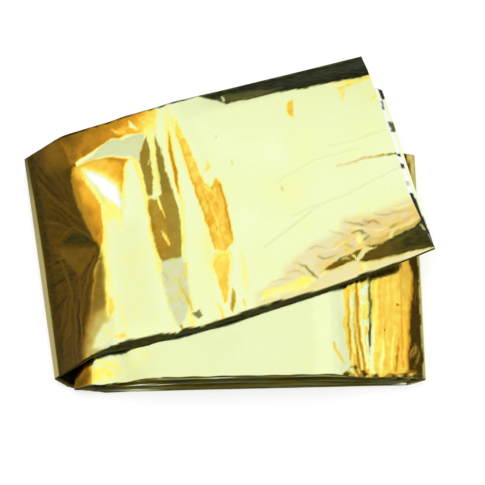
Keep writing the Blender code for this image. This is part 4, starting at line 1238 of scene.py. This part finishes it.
PACKET_MARKS = (
    Facet("left end", 0, 0.3, 0.12, 0.03, (
        (-80, -62, 0.28), (-70.6, -62, 0.28), (-70.4, -50, 0.36), (-70.4, -44, 0.46), (-70.4, 0, 0.5),
        (-80, 0, 0.5), (-80, -46, 0.4),
    )),
    Facet("left end gold", 0, 0.5, 0.15, 0.03, (
        (-70.6, -62, 0.28), (-67.6, -62, 0.5), (-67.6, -50, 0.56), (-67.4, 0, 0.64), (-70.4, 0, 0.46),
        (-70.5, -50, 0.34),
    )),
    Facet("left end front", 0, 1.8, 0.4, 0.03, (
        (-82, -66, 0.4), (-67.6, -66, 0.52), (-67.6, -50, 0.54), (-74, -50, 0.4), (-82, -54, 0.34),
    )),
    Facet("left flat", 0, 0.5, 0.03, 0.02, (
        (-67.6, -62, 0.84), (-34, -62, 0.88), (-34, 4, 0.88), (-67.4, 4, 0.86),
    )),
    Facet("packet top", 0, 5, 0.05, 0, one_tone(0.88, ((-42, 4), (32, 20), (32, -62), (-42, -62)))),
    Crease("left arc", 0.2, 0, (
        (-67, -40.4, 0.6, 0.8), (-62, -41.6, 0.9, 0.79), (-57, -43.2, 0.8, 0.79), (-53, -46.2, 0.4, 0.82),
    )),
    Facet("left blob", 0.2, 0.6, 0, 0.03, (
        (-67, -44.5, 0.79), (-61, -44, 0.79), (-57.5, -46, 0.8), (-60, -49.3, 0.8), (-67, -49.6, 0.79),
    )),
    Crease("left fleck", 0.1, 0, ((-61, -46.2, 0.3, 0.72), (-58, -47.4, 0.3, 0.74))),
    Crease("faint fold", 0.12, 0.1, (
        (-20.5, -38.6, 0.15, 0.87), (-16, -37.4, 0.3, 0.86), (-11, -34.6, 0.25, 0.86),
        (-3.5, -33.4, 0.12, 0.87),
    )),
    Crease("faint fold", 0.12, 0.08, (
        (-15, -40.6, 0.15, 0.87), (-10, -38, 0.2, 0.86), (-5, -37, 0.1, 0.87),
    )),
    Facet("back end", 0, 0.4, 0.22, 0.02, one_tone(0.76, ((64, 14), (80, 14), (80, 60), (64, 60))), 0.5),
    Facet("back end shade", 0, 0.3, 0.93, 0, one_tone(0.7, (
        (60, 58), (70.8, 56), (72.2, 50), (73.8, 42), (74.2, 20), (60, 20),
    ))),
    Facet("right flat", 0, 2, 0, 0.01, one_tone(0.89, ((28, 8), (56, 8), (56, -62), (28, -62)))),
    Crease("edge mark", -0.1, 0.3, (
        (37, -36.6, 0.3, 0.74), (37.4, -40, 0.5, 0.72), (38.2, -42.4, 0.3, 0.74),
    )),
    Crease("edge mark", 0.1, 0, (
        (36.6, -38, 0.6, 0.72), (38, -41.6, 0.9, 0.71), (40.4, -45.4, 0.5, 0.74),
    ), 0.2),
    Facet("gold wrinkle", 0.4, 0.22, 0, 0.03, (
        (41.4, 4, 0.68), (44, 4, 0.69), (44.1, -11, 0.69), (44.3, -19, 0.69), (44.3, -30, 0.7),
        (44.2, -40, 0.68), (43.6, -46, 0.67), (42.1, -38, 0.68), (40.7, -28, 0.7), (41.5, -19, 0.69),
    )),
    Facet("rust wrinkle", -0.5, 0.2, 0, 0.05, (
        (46.3, 4, 0.6), (48, 4, 0.62), (48, -12, 0.6), (48.6, -28, 0.6), (50.4, -38, 0.62),
        (51.8, -48, 0.64), (50, -50, 0.6), (48.2, -40, 0.56), (47.2, -28, 0.57), (46.2, -12, 0.6),
    )),
    Crease("wrinkle line", -0.2, 0.35, (
        (43.6, -16, 0.12, 0.56), (43.1, -28, 0.3, 0.55), (43.3, -35, 0.3, 0.55), (43.5, -43, 0.12, 0.56),
    )),
    Crease("rust core", -0.2, 0.15, (
        (46.9, 2, 0.2, 0.5), (47.2, -12, 0.35, 0.48), (47.8, -27, 0.3, 0.46), (49.6, -42, 0.25, 0.48),
    )),
    Facet("speckled ridge", 0.2, 0.3, 0.06, 0.13, (
        (48.4, 4, 0.79), (52, 4, 0.82), (52, -18, 0.84), (51.4, -34, 0.8), (50, -33, 0.76),
        (48.9, -22, 0.78), (48.6, -10, 0.8),
    )),
    Facet("speckled ridge", 0.2, 0.3, 0.06, 0.12, (
        (44.2, 4, 0.83), (46.2, 4, 0.82), (46.2, -12, 0.82), (46.8, -24, 0.84), (47.4, -34, 0.84),
        (48, -46, 0.78), (44.4, -46, 0.78), (44.4, -25, 0.8),
    )),
    Crease("speckle fold", -0.2, 0.3, (
        (45.4, -22, 0.15, 0.6), (45, -27, 0.3, 0.62), (46.2, -33, 0.3, 0.6), (45.2, -40, 0.15, 0.6),
    )),
    Crease("speckle fold", 0.1, 0, ((44.2, -33, 0.2, 0.7), (44.8, -38, 0.4, 0.7), (46.6, -45, 0.3, 0.66))),
    Facet("rust fan", 0.2, 0.25, 0, 0.05, (
        (45.6, -18, 0.68), (48.4, -20, 0.66), (50.4, -34, 0.68), (51.6, -50, 0.64), (44.6, -48, 0.62),
        (44.6, -38, 0.68), (45.8, -28, 0.7),
    )),
    Crease("rust line", -0.2, 0.3, ((46.4, -14, 0.3, 0.6), (47.4, -28, 0.5, 0.58), (49.4, -48, 0.5, 0.56))),
    Crease("rust line", -0.2, 0.4, ((45.6, -30, 0.2, 0.6), (46.6, -40, 0.5, 0.56), (47.6, -48, 0.5, 0.54))),
    *creases("pale slit", 0.3, 0, (
        ((48.8, -20, 0.3, 0.86), (49.2, -32, 0.6, 0.9), (50.6, -46, 0.5, 0.88)),
        ((44.8, -16, 0.5, 0.88), (44.6, -28, 0.6, 0.88), (45.2, -40, 0.4, 0.84)),
    )),
    Crease("pale slit", 0.2, 0, ((46.4, -34, 0.2, 0.82), (48.2, -44, 0.5, 0.84), (48.8, -49, 0.3, 0.8))),
    Facet("gold end", 0, 0.28, 0.045, 0.035, (
        (52.8, 4, 0.72), (72.8, 4, 0.665), (72.6, -18, 0.665), (71.2, -36, 0.66), (70.4, -60, 0.62),
        (53.6, -60, 0.72), (53, -34, 0.73), (53.3, -16, 0.7),
    )),
    Facet("gold end side", 0, 0.5, 0.05, 0.02, (
        (69.6, 6, 0.56), (71.2, -5.5, 0.57), (70.2, -12.5, 0.57), (69.1, -19.5, 0.57), (68.4, -31, 0.57),
        (67.7, -40, 0.57), (66.8, -50, 0.55), (68.4, -52, 0.48), (69.2, -40, 0.5), (69.9, -31, 0.5),
        (70.7, -19.5, 0.5), (72, -12.5, 0.5), (72.8, -5.5, 0.5), (71, 6, 0.5),
    )),
    Crease("gutter", -0.5, 0.82, (
        (52.4, 4, 0.35, 0.74), (52.4, -9.7, 0.35, 0.74), (52.9, -16.7, 0.7, 0.76), (52.5, -26, 0.5, 0.8),
        (52.1, -34, 0.4, 0.84), (51.8, -40, 0.15, 0.8),
    )),
    Crease("gutter rim", 0.3, 0, (
        (54.2, -22, 0.15, 0.82), (54.1, -28, 0.5, 0.86), (53.2, -38, 0.5, 0.87), (53, -46, 0.2, 0.84),
    )),
    Crease("end line", 0.1, 0.05, (
        (63.4, -6, 0.15, 0.74), (63.8, -12, 0.35, 0.75), (63.2, -20, 0.15, 0.74),
    )),
    Crease("end line", 0.1, 0.08, ((60.2, -3, 0.15, 0.74), (60.6, -12, 0.3, 0.76), (60, -22, 0.15, 0.73))),
    *creases("end line", 0.1, 0, (
        ((67, -24, 0.15, 0.74), (66.8, -34, 0.3, 0.72), (66, -44, 0.15, 0.68)),
        ((55.6, 0, 0.25, 0.8), (55.5, -14, 0.35, 0.79), (55, -30, 0.2, 0.8)),
    )),
    *creases("end line", -0.1, 0, (
        ((57.2, 0, 0.15, 0.58), (57.3, -18, 0.22, 0.58), (56.8, -32, 0.15, 0.58)),
        ((59, -8, 0.15, 0.6), (58.8, -26, 0.25, 0.57), (58.4, -47, 0.2, 0.58)),
        ((61.6, 0, 0.15, 0.6), (61.8, -20, 0.25, 0.62), (61, -44, 0.15, 0.58)),
        ((66.6, 0, 0.15, 0.58), (66.4, -20, 0.3, 0.56), (65.6, -46, 0.25, 0.5)),
    )),
    Crease("end streak", 0.2, 0, ((58.2, -33, 0.2, 0.78), (57.2, -41, 0.7, 0.84), (56.4, -48, 0.7, 0.83))),
    Crease("end streak", 0.1, 0, ((62.6, -30, 0.3, 0.76), (61.8, -38, 0.5, 0.78), (60.4, -47, 0.4, 0.77))),
    Crease("end streak", -0.2, 0.1, (
        (64.6, -33, 0.15, 0.52), (63.8, -41, 0.4, 0.44), (62.6, -48, 0.3, 0.46),
    )),
    Crease("end dot", -0.1, 0.3, ((64.3, -18.4, 0.35, 0.4), (64.9, -18.6, 0.3, 0.4))),
    Facet("right fold", 0, 0.3, 0.93, 0.05, (
        (69, 8, 0.58), (70.5, 1, 0.58), (72.1, -5.5, 0.58), (71.5, -12.5, 0.58), (70.1, -19.5, 0.56),
        (69.4, -31.1, 0.56), (68.7, -40.3, 0.56), (67.7, -50, 0.54), (67.5, -62, 0.54), (80, -62, 0.56),
        (80, 8, 0.6),
    )),
    Crease("fold glint", 0.1, 0.8, (
        (73.2, -6, 0.15, 0.6), (72.9, -12, 0.4, 0.58), (72.3, -18, 0.15, 0.56),
    )),
    Crease("fold glint", 0.1, 0.5, (
        (69.1, -42.2, 0.2, 0.72), (70.1, -39, 0.32, 0.7), (71.5, -36.5, 0.32, 0.74),
        (71.9, -38.1, 0.25, 0.74), (71.1, -40.4, 0.25, 0.7), (69.5, -42.4, 0.15, 0.66),
    ), 0.2),
    Crease("fold glint", 0.1, 0.65, (
        (73.2, -39.1, 0.2, 0.72), (72.3, -43.2, 0.32, 0.72), (71.1, -46.4, 0.15, 0.66),
    ), 0.2),
    Facet("fold face", 0, 0.2, 0.5, 0, one_tone(0.84, ((74.5, 62), (82, 62), (82, -62), (74.5, -62)))),
    Facet("foot", 0.3, 0.3, 0.4, 0.12, (
        (39.5, -50.6, 0.6), (41.3, -48.4, 0.62), (43.6, -46, 0.62), (45.7, -46, 0.6), (48, -47.6, 0.58),
        (52, -48.6, 0.58), (54.5, -50, 0.6), (54.5, -51.8, 0.58), (39.5, -51.8, 0.58),
    )),
    Facet("foot dark", -0.1, 0.25, 0.93, 0, one_tone(0.66, (
        (39.2, -50.4), (41, -48.7), (42.6, -49.4), (41.6, -51),
    ))),
    Facet("foot dark", -0.1, 0.25, 0.9, 0, one_tone(0.66, (
        (44.2, -46.8), (45.6, -45.2), (46.6, -46.4), (45.4, -48.2),
    ))),
    Facet("foot dark", -0.1, 0.25, 0.94, 0, one_tone(0.66, (
        (48, -48), (49.6, -47), (50.8, -49.2), (49, -50.8),
    ))),
    Facet("foot dark", -0.1, 0.25, 0.88, 0, one_tone(0.66, (
        (52.4, -49.4), (54.6, -48.6), (55.4, -50.4), (53, -50.8),
    ))),
    Facet("foot gold", 0.2, 0.25, 0, 0, (
        (42.8, -48, 0.72), (44, -47, 0.76), (44.8, -48.8, 0.72), (43.4, -49.8, 0.68),
    )),
    Facet("foot gold", 0.2, 0.25, 0, 0, ((50.6, -47.6, 0.72), (52.4, -48, 0.7), (51.8, -50.2, 0.66))),
    *creases("foot glint", 0.2, 0, (
        ((42.4, -48.2, 0.3, 0.94), (43.2, -47.6, 0.45, 1), (43.8, -48.8, 0.3, 0.96)),
        ((44.6, -49.6, 0.3, 0.94), (45.4, -50.4, 0.45, 1)),
        ((46.6, -47.2, 0.3, 0.92), (47.2, -48.6, 0.4, 0.98)),
    )),
    Crease("foot glint", 0.1, 0, ((50.6, -50, 0.3, 0.9), (51.4, -50.6, 0.4, 0.96))),
    Facet("foot side", 0.2, 0.3, 0.55, 0.14, (
        (57.3, -50.6, 0.6), (59.6, -48.9, 0.62), (63.1, -49.4, 0.6), (66.6, -48.4, 0.6), (69, -47.4, 0.6),
        (71.5, -47.6, 0.58), (72, -51.8, 0.58), (57.3, -51.8, 0.58),
    )),
    Facet("foot side dark", -0.1, 0.25, 0.93, 0, one_tone(0.66, (
        (61.2, -49.6), (62.8, -49.8), (62.6, -51.2), (61, -51),
    ))),
    Facet("foot side dark", -0.1, 0.25, 0.92, 0, one_tone(0.66, (
        (66, -48.8), (67.6, -48.4), (68, -50.4), (66.2, -50.6),
    ))),
    *creases("foot side glint", 0.2, 0, (
        ((68.6, -49, 0.3, 0.86), (69.2, -50.2, 0.4, 0.96)),
        ((64.2, -49.8, 0.25, 0.84), (64.8, -50.6, 0.35, 0.92)),
    )),
    Facet("dark foot", -0.1, 0.2, 0.93, 0, (
        (34, -52.4, 0.8), (40, -51.4, 0.8), (46, -50.6, 0.72), (54, -50.4, 0.7), (60, -50.6, 0.7),
        (68, -50.8, 0.7), (70, -49.4, 0.7), (74, -48.6, 0.7), (76, -62, 0.8), (34, -62, 0.8),
    )),
)


# ---------------------------------------------------------------- dressing the film

MOTTLE = 0.010  # how much the tone changes over plain film
MOTTLE_LENGTH = 30.0
# Painted reflection tone of unmarked film by its tilt, as (degrees, tone).
TILT_TONES = (
    (0.0, PALE), (7.0, PALE), (12.0, 0.80), (20.0, GOLD), (30.0, AMBER), (60.0, RUST), (90.0, BROWN),
)


def tilt_tone(film):
    """Painted reflection tone of unmarked film: pale where it lies flat, then gold, orange and brown as it
    tilts.
    """
    steep = np.degrees(np.arccos(np.clip(np.abs(film.normals[:, 2]), 0.0, 1.0)))
    x, y = film.xy()
    return column(TILT_TONES, 1, steep) + MOTTLE * ripple(x, y, MOTTLE_LENGTH, seed=51)


EDGE_ROWS = (7.0, 31.0)  # how far apart the edges lie in these changes, by ply and by panel
EDGE_TONE = 0.76
EDGE_TONE_CHANGE = 0.08
EDGE_TONE_LENGTH = 26.0
EDGE_DIM = 0.892  # the plies' folded edges, painted dark as the gaps between them are
EDGE_DIM_CHANGE = 0.038
EDGE_DIM_LENGTH = 9.0
EDGE_DIM_STRETCH = 3.0  # how much longer they are along an edge
# the flap's folded edges, painted darker still, as shade
FLAP_EDGE_DIM = 0.955
# Stretches of the packet's front edge with painted glints, as (start, end, how rare the glints are).
GLINTS = ((-66.0, -55.0, 1.5), (-49.0, -37.0, 0.8), (-28.0, -13.0, 1.7), (64.0, 73.0, 0.8))
GLINT_LENGTH = 2.2
GLINT_ROW = 1.7  # how much further apart the rows lie for glints
GLINT_FADE = 0.3


def dress_edges(film):
    """Painted tone, shade and glints of the plies' folded edges and of everything that the outer ply hides.
    """
    x = film.points[:, 0]
    row = edge_rows(film, EDGE_ROWS)
    dim = EDGE_DIM + EDGE_DIM_CHANGE * ripple(x / EDGE_DIM_STRETCH, row, EDGE_DIM_LENGTH, seed=8)
    dim = dim + film.on("slope", "flap") * (FLAP_EDGE_DIM - dim)
    tone = EDGE_TONE + EDGE_TONE_CHANGE * ripple(x, row, EDGE_TONE_LENGTH, seed=9)
    sparkle = ripple(x, row * GLINT_ROW, GLINT_LENGTH, seed=10)
    stack = film.on("inner", *TOP_PLACES, "bed") * (film.across < 0)
    for start, end, rarity in GLINTS:
        lit = stack * (x > start) * (x < end) * smooth(sparkle, rarity, rarity + GLINT_FADE)
        dim = dim * (1.0 - lit)
        tone = tone + (WHITE - tone) * lit
    return tone, dim


class Look(NamedTuple):
    """The film's painted reflection tone and shade, shares of duller colour and of silver, and rise, at
    every point.
    """

    tone: np.ndarray
    dim: np.ndarray
    tan: np.ndarray
    silver: np.ndarray
    rise: np.ndarray


def move(values, goal, share):
    """Moves the values towards a goal, by a share of the way."""
    values += (goal - values) * share


UNDERSIDE = 0.96  # nearer the middle than this, the lowest ply's face shows from below
HOLLOW_RIGHT = -66.0
HOLLOW_EDGE = 0.99  # across value
HOLLOW_DIM = 1.0  # painted shade inside the fold, where light hardly gets


def dress_hidden(film, look):
    """The plies under the outer one: painted shade on their edges and in the hollow of the turned fold, and
    the underside painted pale.
    """
    inwards = np.abs(film.across)
    below = film.on("crease", "slope", "flap", ply=0).astype(bool) & (inwards < UNDERSIDE)
    edge = (film.ply < OUTER) & ~below
    edge_tone, edge_dim = dress_edges(film)
    look.tone[edge], look.dim[edge] = edge_tone[edge], edge_dim[edge]
    # the underside painted pale, a painted reflection that the packet's top mirrors as light
    look.tone[below] = PALE
    hollow = film.on("crease", "slope", ply=0) + film.on("bed", ply=0) * (film.points[:, 0] < HOLLOW_RIGHT)
    move(look.dim, HOLLOW_DIM, hollow * (inwards < HOLLOW_EDGE))


def dress_outer(film, look, places, marks):
    """The outer ply at those places, with its marks."""
    x, y = film.xy()
    chosen = np.flatnonzero(film.on(*places, ply=OUTER))
    finest = FINEST + (FINEST_COARSE - FINEST) * film.on("top")[chosen]
    dressing = Dressing(x[chosen], y[chosen], look.tone[chosen], finest)
    dressing.lay(marks)
    look.tone[chosen], look.dim[chosen] = dressing.tone, dressing.dim
    look.tan[chosen], look.rise[chosen] = dressing.tan, dressing.rise


END_TONE = 0.92
END_EDGE = 0.99
END_PLIES = ((2, 1.0), (1, 0.0))  # the plies that show there, with their share of silver


def dress_free_end(film, look):
    """The ends of the plies that come out from under the outer one, with painted shade in their dents and
    gap.
    """
    x, y = film.xy()
    near_end = (film.along > END_ALONG) * (np.abs(film.across) < END_EDGE)
    for ply, silver in END_PLIES:
        chosen = np.flatnonzero(film.on("flap", ply=ply) * near_end)
        tone, finest = np.full(chosen.shape, END_TONE), np.full(chosen.shape, FINEST)
        dressing = Dressing(x[chosen], y[chosen], tone, finest)
        dressing.lay(END_MARKS)
        look.tone[chosen], look.dim[chosen], look.silver[chosen] = dressing.tone, dressing.dim, silver


LIP_TONE = 0.80
LIP_DIM = 0.965
LIP_DIM_CHANGE = 0.01
LIP_DIM_LENGTH = 6.0
LIP_WANDER = 0.18  # how far the lip's border wanders
LIP_WANDER_LENGTH = 9.0
LIP_FADE = 0.2
BACK_DIM = 0.92
BACK_EDGE = (0.984, 0.992)  # across values between which the back edge darkens
BACK_WANDER = 0.004
BACK_WANDER_LENGTH = 7.0


def dress_flap_edges(film, look):
    """The flap's front lip, turned down out of the light and painted dark as shade, and the rim of its back
    edge, painted dark.
    """
    x, y = film.xy()
    past_turn = lip_turn(x) - y + LIP_WANDER * ripple(x, y, LIP_WANDER_LENGTH, seed=41)
    lip = film.on("flap", ply=OUTER) * smooth(past_turn, -LIP_FADE, LIP_FADE)
    move(look.tone, LIP_TONE, lip)
    move(look.dim, LIP_DIM + LIP_DIM_CHANGE * ripple(x, y, LIP_DIM_LENGTH, seed=42), lip)
    look.tan[:] *= 1.0 - lip
    across = film.across + BACK_WANDER * ripple(x, y, BACK_WANDER_LENGTH, seed=43)
    move(look.dim, BACK_DIM, film.on("flap", "slope", ply=OUTER) * smooth(across, *BACK_EDGE))


# The painted pale highlight along the crease, as (y, how far it reaches from the crease, dim).
STRIP = (
    (-52, 1.6, 0.50), (-45, 1.7, 0.48), (-15, 1.9, 0.45), (5, 1.9, 0.47), (35, 1.5, 0.58), (48, 1.0, 0.75),
    (56, 0.8, 0.87),
)
STRIP_TONE = 0.84
STRIP_TAN = 0.35
STRIP_FADE = (-0.15, 0.3)


def dress_strip(film, look):
    """The pale line along the slanted crease: real bent film, with its highlight painted on."""
    x, y = film.xy()
    outermost = np.interp(y, *zip(CREASE.front[::-1], CREASE.back[::-1]))
    inside_strip = smooth(column(STRIP, 1, y) - (x - outermost), *STRIP_FADE)
    strip = film.on("crease", "slope", ply=OUTER) * inside_strip
    move(look.tone, STRIP_TONE, strip)
    move(look.dim, column(STRIP, 2, y), strip)
    move(look.tan, STRIP_TAN, strip)


DEEPEST_TOP = -0.18  # the deepest marks, so that the ply below stays hidden
DEEPEST_FLAP = -0.42


def dress(film):
    """The film's look at every point, by name."""
    look = Look(tilt_tone(film), *np.zeros((4, len(film.points))))
    dress_hidden(film, look)
    dress_outer(film, look, ("crease", "slope", "flap"), FLAP_MARKS)
    dress_outer(film, look, TOP_PLACES, PACKET_MARKS)
    dress_free_end(film, look)
    dress_flap_edges(film, look)
    dress_strip(film, look)
    deepest = DEEPEST_TOP + (DEEPEST_FLAP - DEEPEST_TOP) * film.on("slope", "flap")
    tone, dim = np.clip(look.tone, 0.0, 1.0), np.clip(look.dim, 0.0, 1.0)
    return look._replace(tone=tone, dim=dim, rise=np.maximum(look.rise, deepest))


# ---------------------------------------------------------------- mesh


def film_mesh(name, film, points, look):
    """The film as a mesh that carries its look to the finish."""
    mesh = bpy.data.meshes.new(name)
    mesh.from_pydata((points * MM).tolist(), [], film.faces)
    mesh.shade_smooth()
    for label in ("tone", "dim", "tan", "silver"):
        attribute = mesh.attributes.new(label, "FLOAT", "POINT")
        attribute.data.foreach_set("value", getattr(look, label).astype(np.float32))
    piece = bpy.data.objects.new(name, mesh)
    bpy.context.scene.collection.objects.link(piece)
    return piece


def into_row_frame(points):
    """From the packet's own footprint to the frame, by the solid's lowest corner."""
    low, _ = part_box("foil_blanket")
    solid_low = np.array([CREASE.back[0] - THIN / 2.0, BED.front])
    moved = points.copy()
    moved[..., :2] += np.array(low[:2]) / MM - solid_low
    return moved


# ---------------------------------------------------------------- finish


class Signal:
    """A number that varies over the surface. Arithmetic on it adds Math nodes."""

    def __init__(self, finish, socket):
        self.finish = finish
        self.socket = socket

    def math(self, operation, *values):
        return self.finish.node("ShaderNodeMath", {"operation": operation}, dict(enumerate(values)))

    def __add__(self, other):
        return self.math("ADD", self, other)

    __radd__ = __add__

    def __sub__(self, other):
        return self.math("SUBTRACT", self, other)

    def __rsub__(self, other):
        return self.math("SUBTRACT", other, self)

    def __mul__(self, other):
        return self.math("MULTIPLY", self, other)

    __rmul__ = __mul__


class Finish:
    """A material under construction."""

    def __init__(self, name, tree=None):
        self.material = bpy.data.materials.new(name) if tree is None else None
        if self.material:
            self.material.use_nodes = True
            tree = self.material.node_tree
        self.tree = tree
        self.tree.nodes.clear()

    def node(self, kind, settings=(), inputs=(), output=0):
        """Adds a node: its settings first, then the values or links of its sockets."""
        node = self.tree.nodes.new(kind)
        for name, value in dict(settings).items():
            setattr(node, name, value)
        for name, value in dict(inputs).items():
            if isinstance(value, Signal):
                self.tree.links.new(value.socket, node.inputs[name])
            else:
                node.inputs[name].default_value = value
        return Signal(self, node.outputs[output]) if node.outputs else node

    def noise(self, place, scale, detail):
        """Uneven values about NOISE_MIDDLE."""
        return self.node("ShaderNodeTexNoise", {}, {"Vector": place, "Scale": scale, "Detail": detail})

    def ramp(self, factor, stops):
        """A colour for each value: stops are (place, colour)."""
        node = self.tree.nodes.new("ShaderNodeValToRGB")
        elements = node.color_ramp.elements
        elements[0].position, elements[0].color = stops[0][0], (*stops[0][1], 1.0)
        elements[1].position, elements[1].color = stops[-1][0], (*stops[-1][1], 1.0)
        for position, colour in stops[1:-1]:
            elements.new(position).color = (*colour, 1.0)
        self.tree.links.new(factor.socket, node.inputs[0])
        return Signal(self, node.outputs[0])

    def mix(self, share, first, second):
        """From the first colour to the second."""
        return self.node("ShaderNodeMix", {"data_type": "RGBA"}, {0: share, 6: first, 7: second}, output=2)


def linear(red, green, blue):
    """A display colour, 0 to 255, as the renderer's linear light."""
    values = np.array((red, green, blue)) / 255.0
    return tuple(np.where(values <= 0.04045, values / 12.92, ((values + 0.055) / 1.055) ** 2.4))


# Colours of the painted reflection tones, from near black to white.
GOLD_TONES = (
    (BLACK, linear(14, 18, 8)),
    (OLIVE, linear(52, 48, 18)),
    (BROWN, linear(98, 70, 22)),
    (RUST, linear(146, 104, 26)),
    (AMBER, linear(204, 142, 36)),
    (ORANGE, linear(242, 176, 42)),
    (GOLD, linear(252, 212, 82)),
    (YELLOW, linear(255, 246, 110)),
    (PALE, linear(240, 249, 193)),
    (0.95, linear(248, 252, 220)),
    (WHITE, linear(255, 255, 252)),
)
SHADOW_TONE = linear(26, 30, 13)
SILVER_TONE = linear(250, 250, 250)
TAN_TONE = linear(240, 190, 138)
SHEEN = 0.17  # roughness of smooth film
DULLING = 0.33  # what its fine crumples add

NOISE_MIDDLE = 0.5
FINE_NOISE = (700.0, 3.0)  # scale and detail
BROAD_NOISE = (45.0, 4.0)
TONE_CHANGE = 0.05  # by each of the two
STREAK_NOISE = (900.0, 2.0)
STREAK_STRETCH = (0.25, 1.0, 1.0)
STREAK_CHANGE = 0.09  # of the dimness
RELIEF_NOISE = (90.0, 4.0)
RELIEF_CELLS = 130.0
RELIEF_CELLS_SHARE = 0.3
RELIEF_STRENGTH = 0.10
RELIEF_DEPTH = 0.0012


def film_relief(finish, place):
    """The finest crinkles, which only bend the light."""
    relief = finish.noise(place, *RELIEF_NOISE)
    cells = finish.node("ShaderNodeTexVoronoi", {"feature": "F1"}, {"Vector": place, "Scale": RELIEF_CELLS})
    height_map = relief + cells * RELIEF_CELLS_SHARE
    return finish.node(
        "ShaderNodeBump", {}, {"Height": height_map, "Strength": RELIEF_STRENGTH, "Distance": RELIEF_DEPTH}
    )


def gold_film():
    """Gold metallised film, silver on its back: a finely crinkled mirror over painted reflections and
    shade.
    """
    finish = Finish("gold metallised film")
    place = finish.node("ShaderNodeTexCoord", output="Object")
    tone, dim, silver, tan = (
        finish.node("ShaderNodeAttribute", {"attribute_name": label}, output="Fac")
        for label in ("tone", "dim", "silver", "tan")
    )
    fine, broad = finish.noise(place, *FINE_NOISE), finish.noise(place, *BROAD_NOISE)
    uneven = tone + (fine - NOISE_MIDDLE) * TONE_CHANGE + (broad - NOISE_MIDDLE) * TONE_CHANGE
    # the painted reflection tones, with the painted tan of bent film over them
    bent = finish.mix(tan, finish.ramp(uneven, GOLD_TONES), (*TAN_TONE, 1.0))
    film = finish.mix(silver, bent, (*SILVER_TONE, 1.0))
    stretched = finish.node("ShaderNodeMapping", {}, {"Vector": place, "Scale": STREAK_STRETCH})
    streak = finish.noise(stretched, *STREAK_NOISE)
    # painted shade and dark reflections: the colour darkened towards the shadow tone
    lost = dim + dim * (streak - NOISE_MIDDLE) * STREAK_CHANGE
    look = {
        "Base Color": finish.mix(lost, film, (*SHADOW_TONE, 1.0)),
        "Metallic": 1.0,
        "Roughness": dim * DULLING + SHEEN,
        "Normal": film_relief(finish, place),
    }
    shader = finish.node("ShaderNodeBsdfPrincipled", {}, look)
    finish.node("ShaderNodeOutputMaterial", {}, {"Surface": shader})
    return finish.material


# ---------------------------------------------------------------- studio

FLOOR_SIZE = 8.0
FLOOR_WHITE = 0.45
FLOOR_GLOW = 0.60
FLOOR_ROUGHNESS = 0.9
# Grey of the studio's light, as (height of its direction, grey).
SKY = ((0.0, 0.76), (0.35, 0.84), (0.70, 0.95), (0.86, 1.0), (1.0, 1.03))
WALL_WHITE = 0.95  # of what the camera sees past the floor
KEY_LIGHT_SIZE = 1.6
KEY_LIGHT_POWER = 7.0
KEY_LIGHT_PLACE = (-0.1, 0.5, 1.4)
CAMERA_ELEVATION = 69.23
CAMERA_AZIMUTH = -1.37
CAMERA_DISTANCE = 1207.7
CAMERA_TARGET = (-1.47, 13.73, 5.0)
CAMERA_LENS = 205.3


def grey(value):
    return (value, value, value, 1.0)


def floor_finish():
    """A white table that glows a little, so that shadows on it stay faint."""
    finish = Finish("pale floor")
    lit = {"Emission Color": grey(1.0), "Emission Strength": FLOOR_GLOW}
    paper = {"Base Color": grey(FLOOR_WHITE), "Roughness": FLOOR_ROUGHNESS}
    shader = finish.node("ShaderNodeBsdfPrincipled", {}, paper | lit)
    finish.node("ShaderNodeOutputMaterial", {}, {"Surface": shader})
    return finish.material


def make_floor():
    bpy.ops.mesh.primitive_plane_add(size=FLOOR_SIZE)
    floor = bpy.context.object
    floor.name = "floor"
    floor.data.materials.append(floor_finish())


def make_world():
    """A studio whose light comes from above and fades towards the horizon."""
    world = bpy.data.worlds.new("studio")
    world.use_nodes = True
    bpy.context.scene.world = world
    finish = Finish("studio", world.node_tree)
    direction = finish.node("ShaderNodeTexCoord", output="Generated")
    up = finish.node("ShaderNodeSeparateXYZ", {}, {0: direction}, output="Z")
    glow = finish.ramp(up, [(height, grey(value)[:3]) for height, value in SKY])
    seen = finish.node("ShaderNodeLightPath", output="Is Camera Ray")
    light = finish.node("ShaderNodeBackground", {}, {"Color": glow, "Strength": 1.0})
    wall = finish.node("ShaderNodeBackground", {}, {"Color": grey(WALL_WHITE), "Strength": 1.0})
    both = finish.node("ShaderNodeMixShader", {}, {0: seen, 1: light, 2: wall})
    finish.node("ShaderNodeOutputWorld", {}, {"Surface": both})


def make_key_light():
    """A soft light for the floor and its shadows. The film shows only the studio round it."""
    light = bpy.data.lights.new("key light", "AREA")
    light.size = KEY_LIGHT_SIZE
    light.energy = KEY_LIGHT_POWER
    lamp = bpy.data.objects.new("key light", light)
    lamp.location = KEY_LIGHT_PLACE
    lamp.rotation_euler = (-lamp.location).to_track_quat("-Z", "Y").to_euler()
    lamp.visible_glossy = False
    bpy.context.scene.collection.objects.link(lamp)


def make_camera():
    camera = bpy.data.objects.new("camera", bpy.data.cameras.new("camera"))
    camera.data.lens = CAMERA_LENS
    turn, rise = math.radians(CAMERA_AZIMUTH), math.radians(CAMERA_ELEVATION)
    back = Vector((math.sin(turn) * math.cos(rise), -math.cos(turn) * math.cos(rise), math.sin(rise)))
    target = Vector(into_row_frame(np.array(CAMERA_TARGET)) * MM)
    camera.location = target + back * CAMERA_DISTANCE * MM
    camera.rotation_euler = (-back).to_track_quat("-Z", "Y").to_euler()
    bpy.context.scene.collection.objects.link(camera)
    bpy.context.scene.camera = camera


def main():
    bpy.context.scene.view_settings.view_transform = "Standard"
    film = shape_edges(make_film())
    look = dress(film)
    points = film.points + film.normals * look.rise[:, None]
    blanket = film_mesh("blanket_film", film, into_row_frame(points), look)
    blanket.data.materials.append(gold_film())
    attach(blanket, "root")
    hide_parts("foil_blanket")
    make_floor()
    make_world()
    make_key_light()
    make_camera()


main()
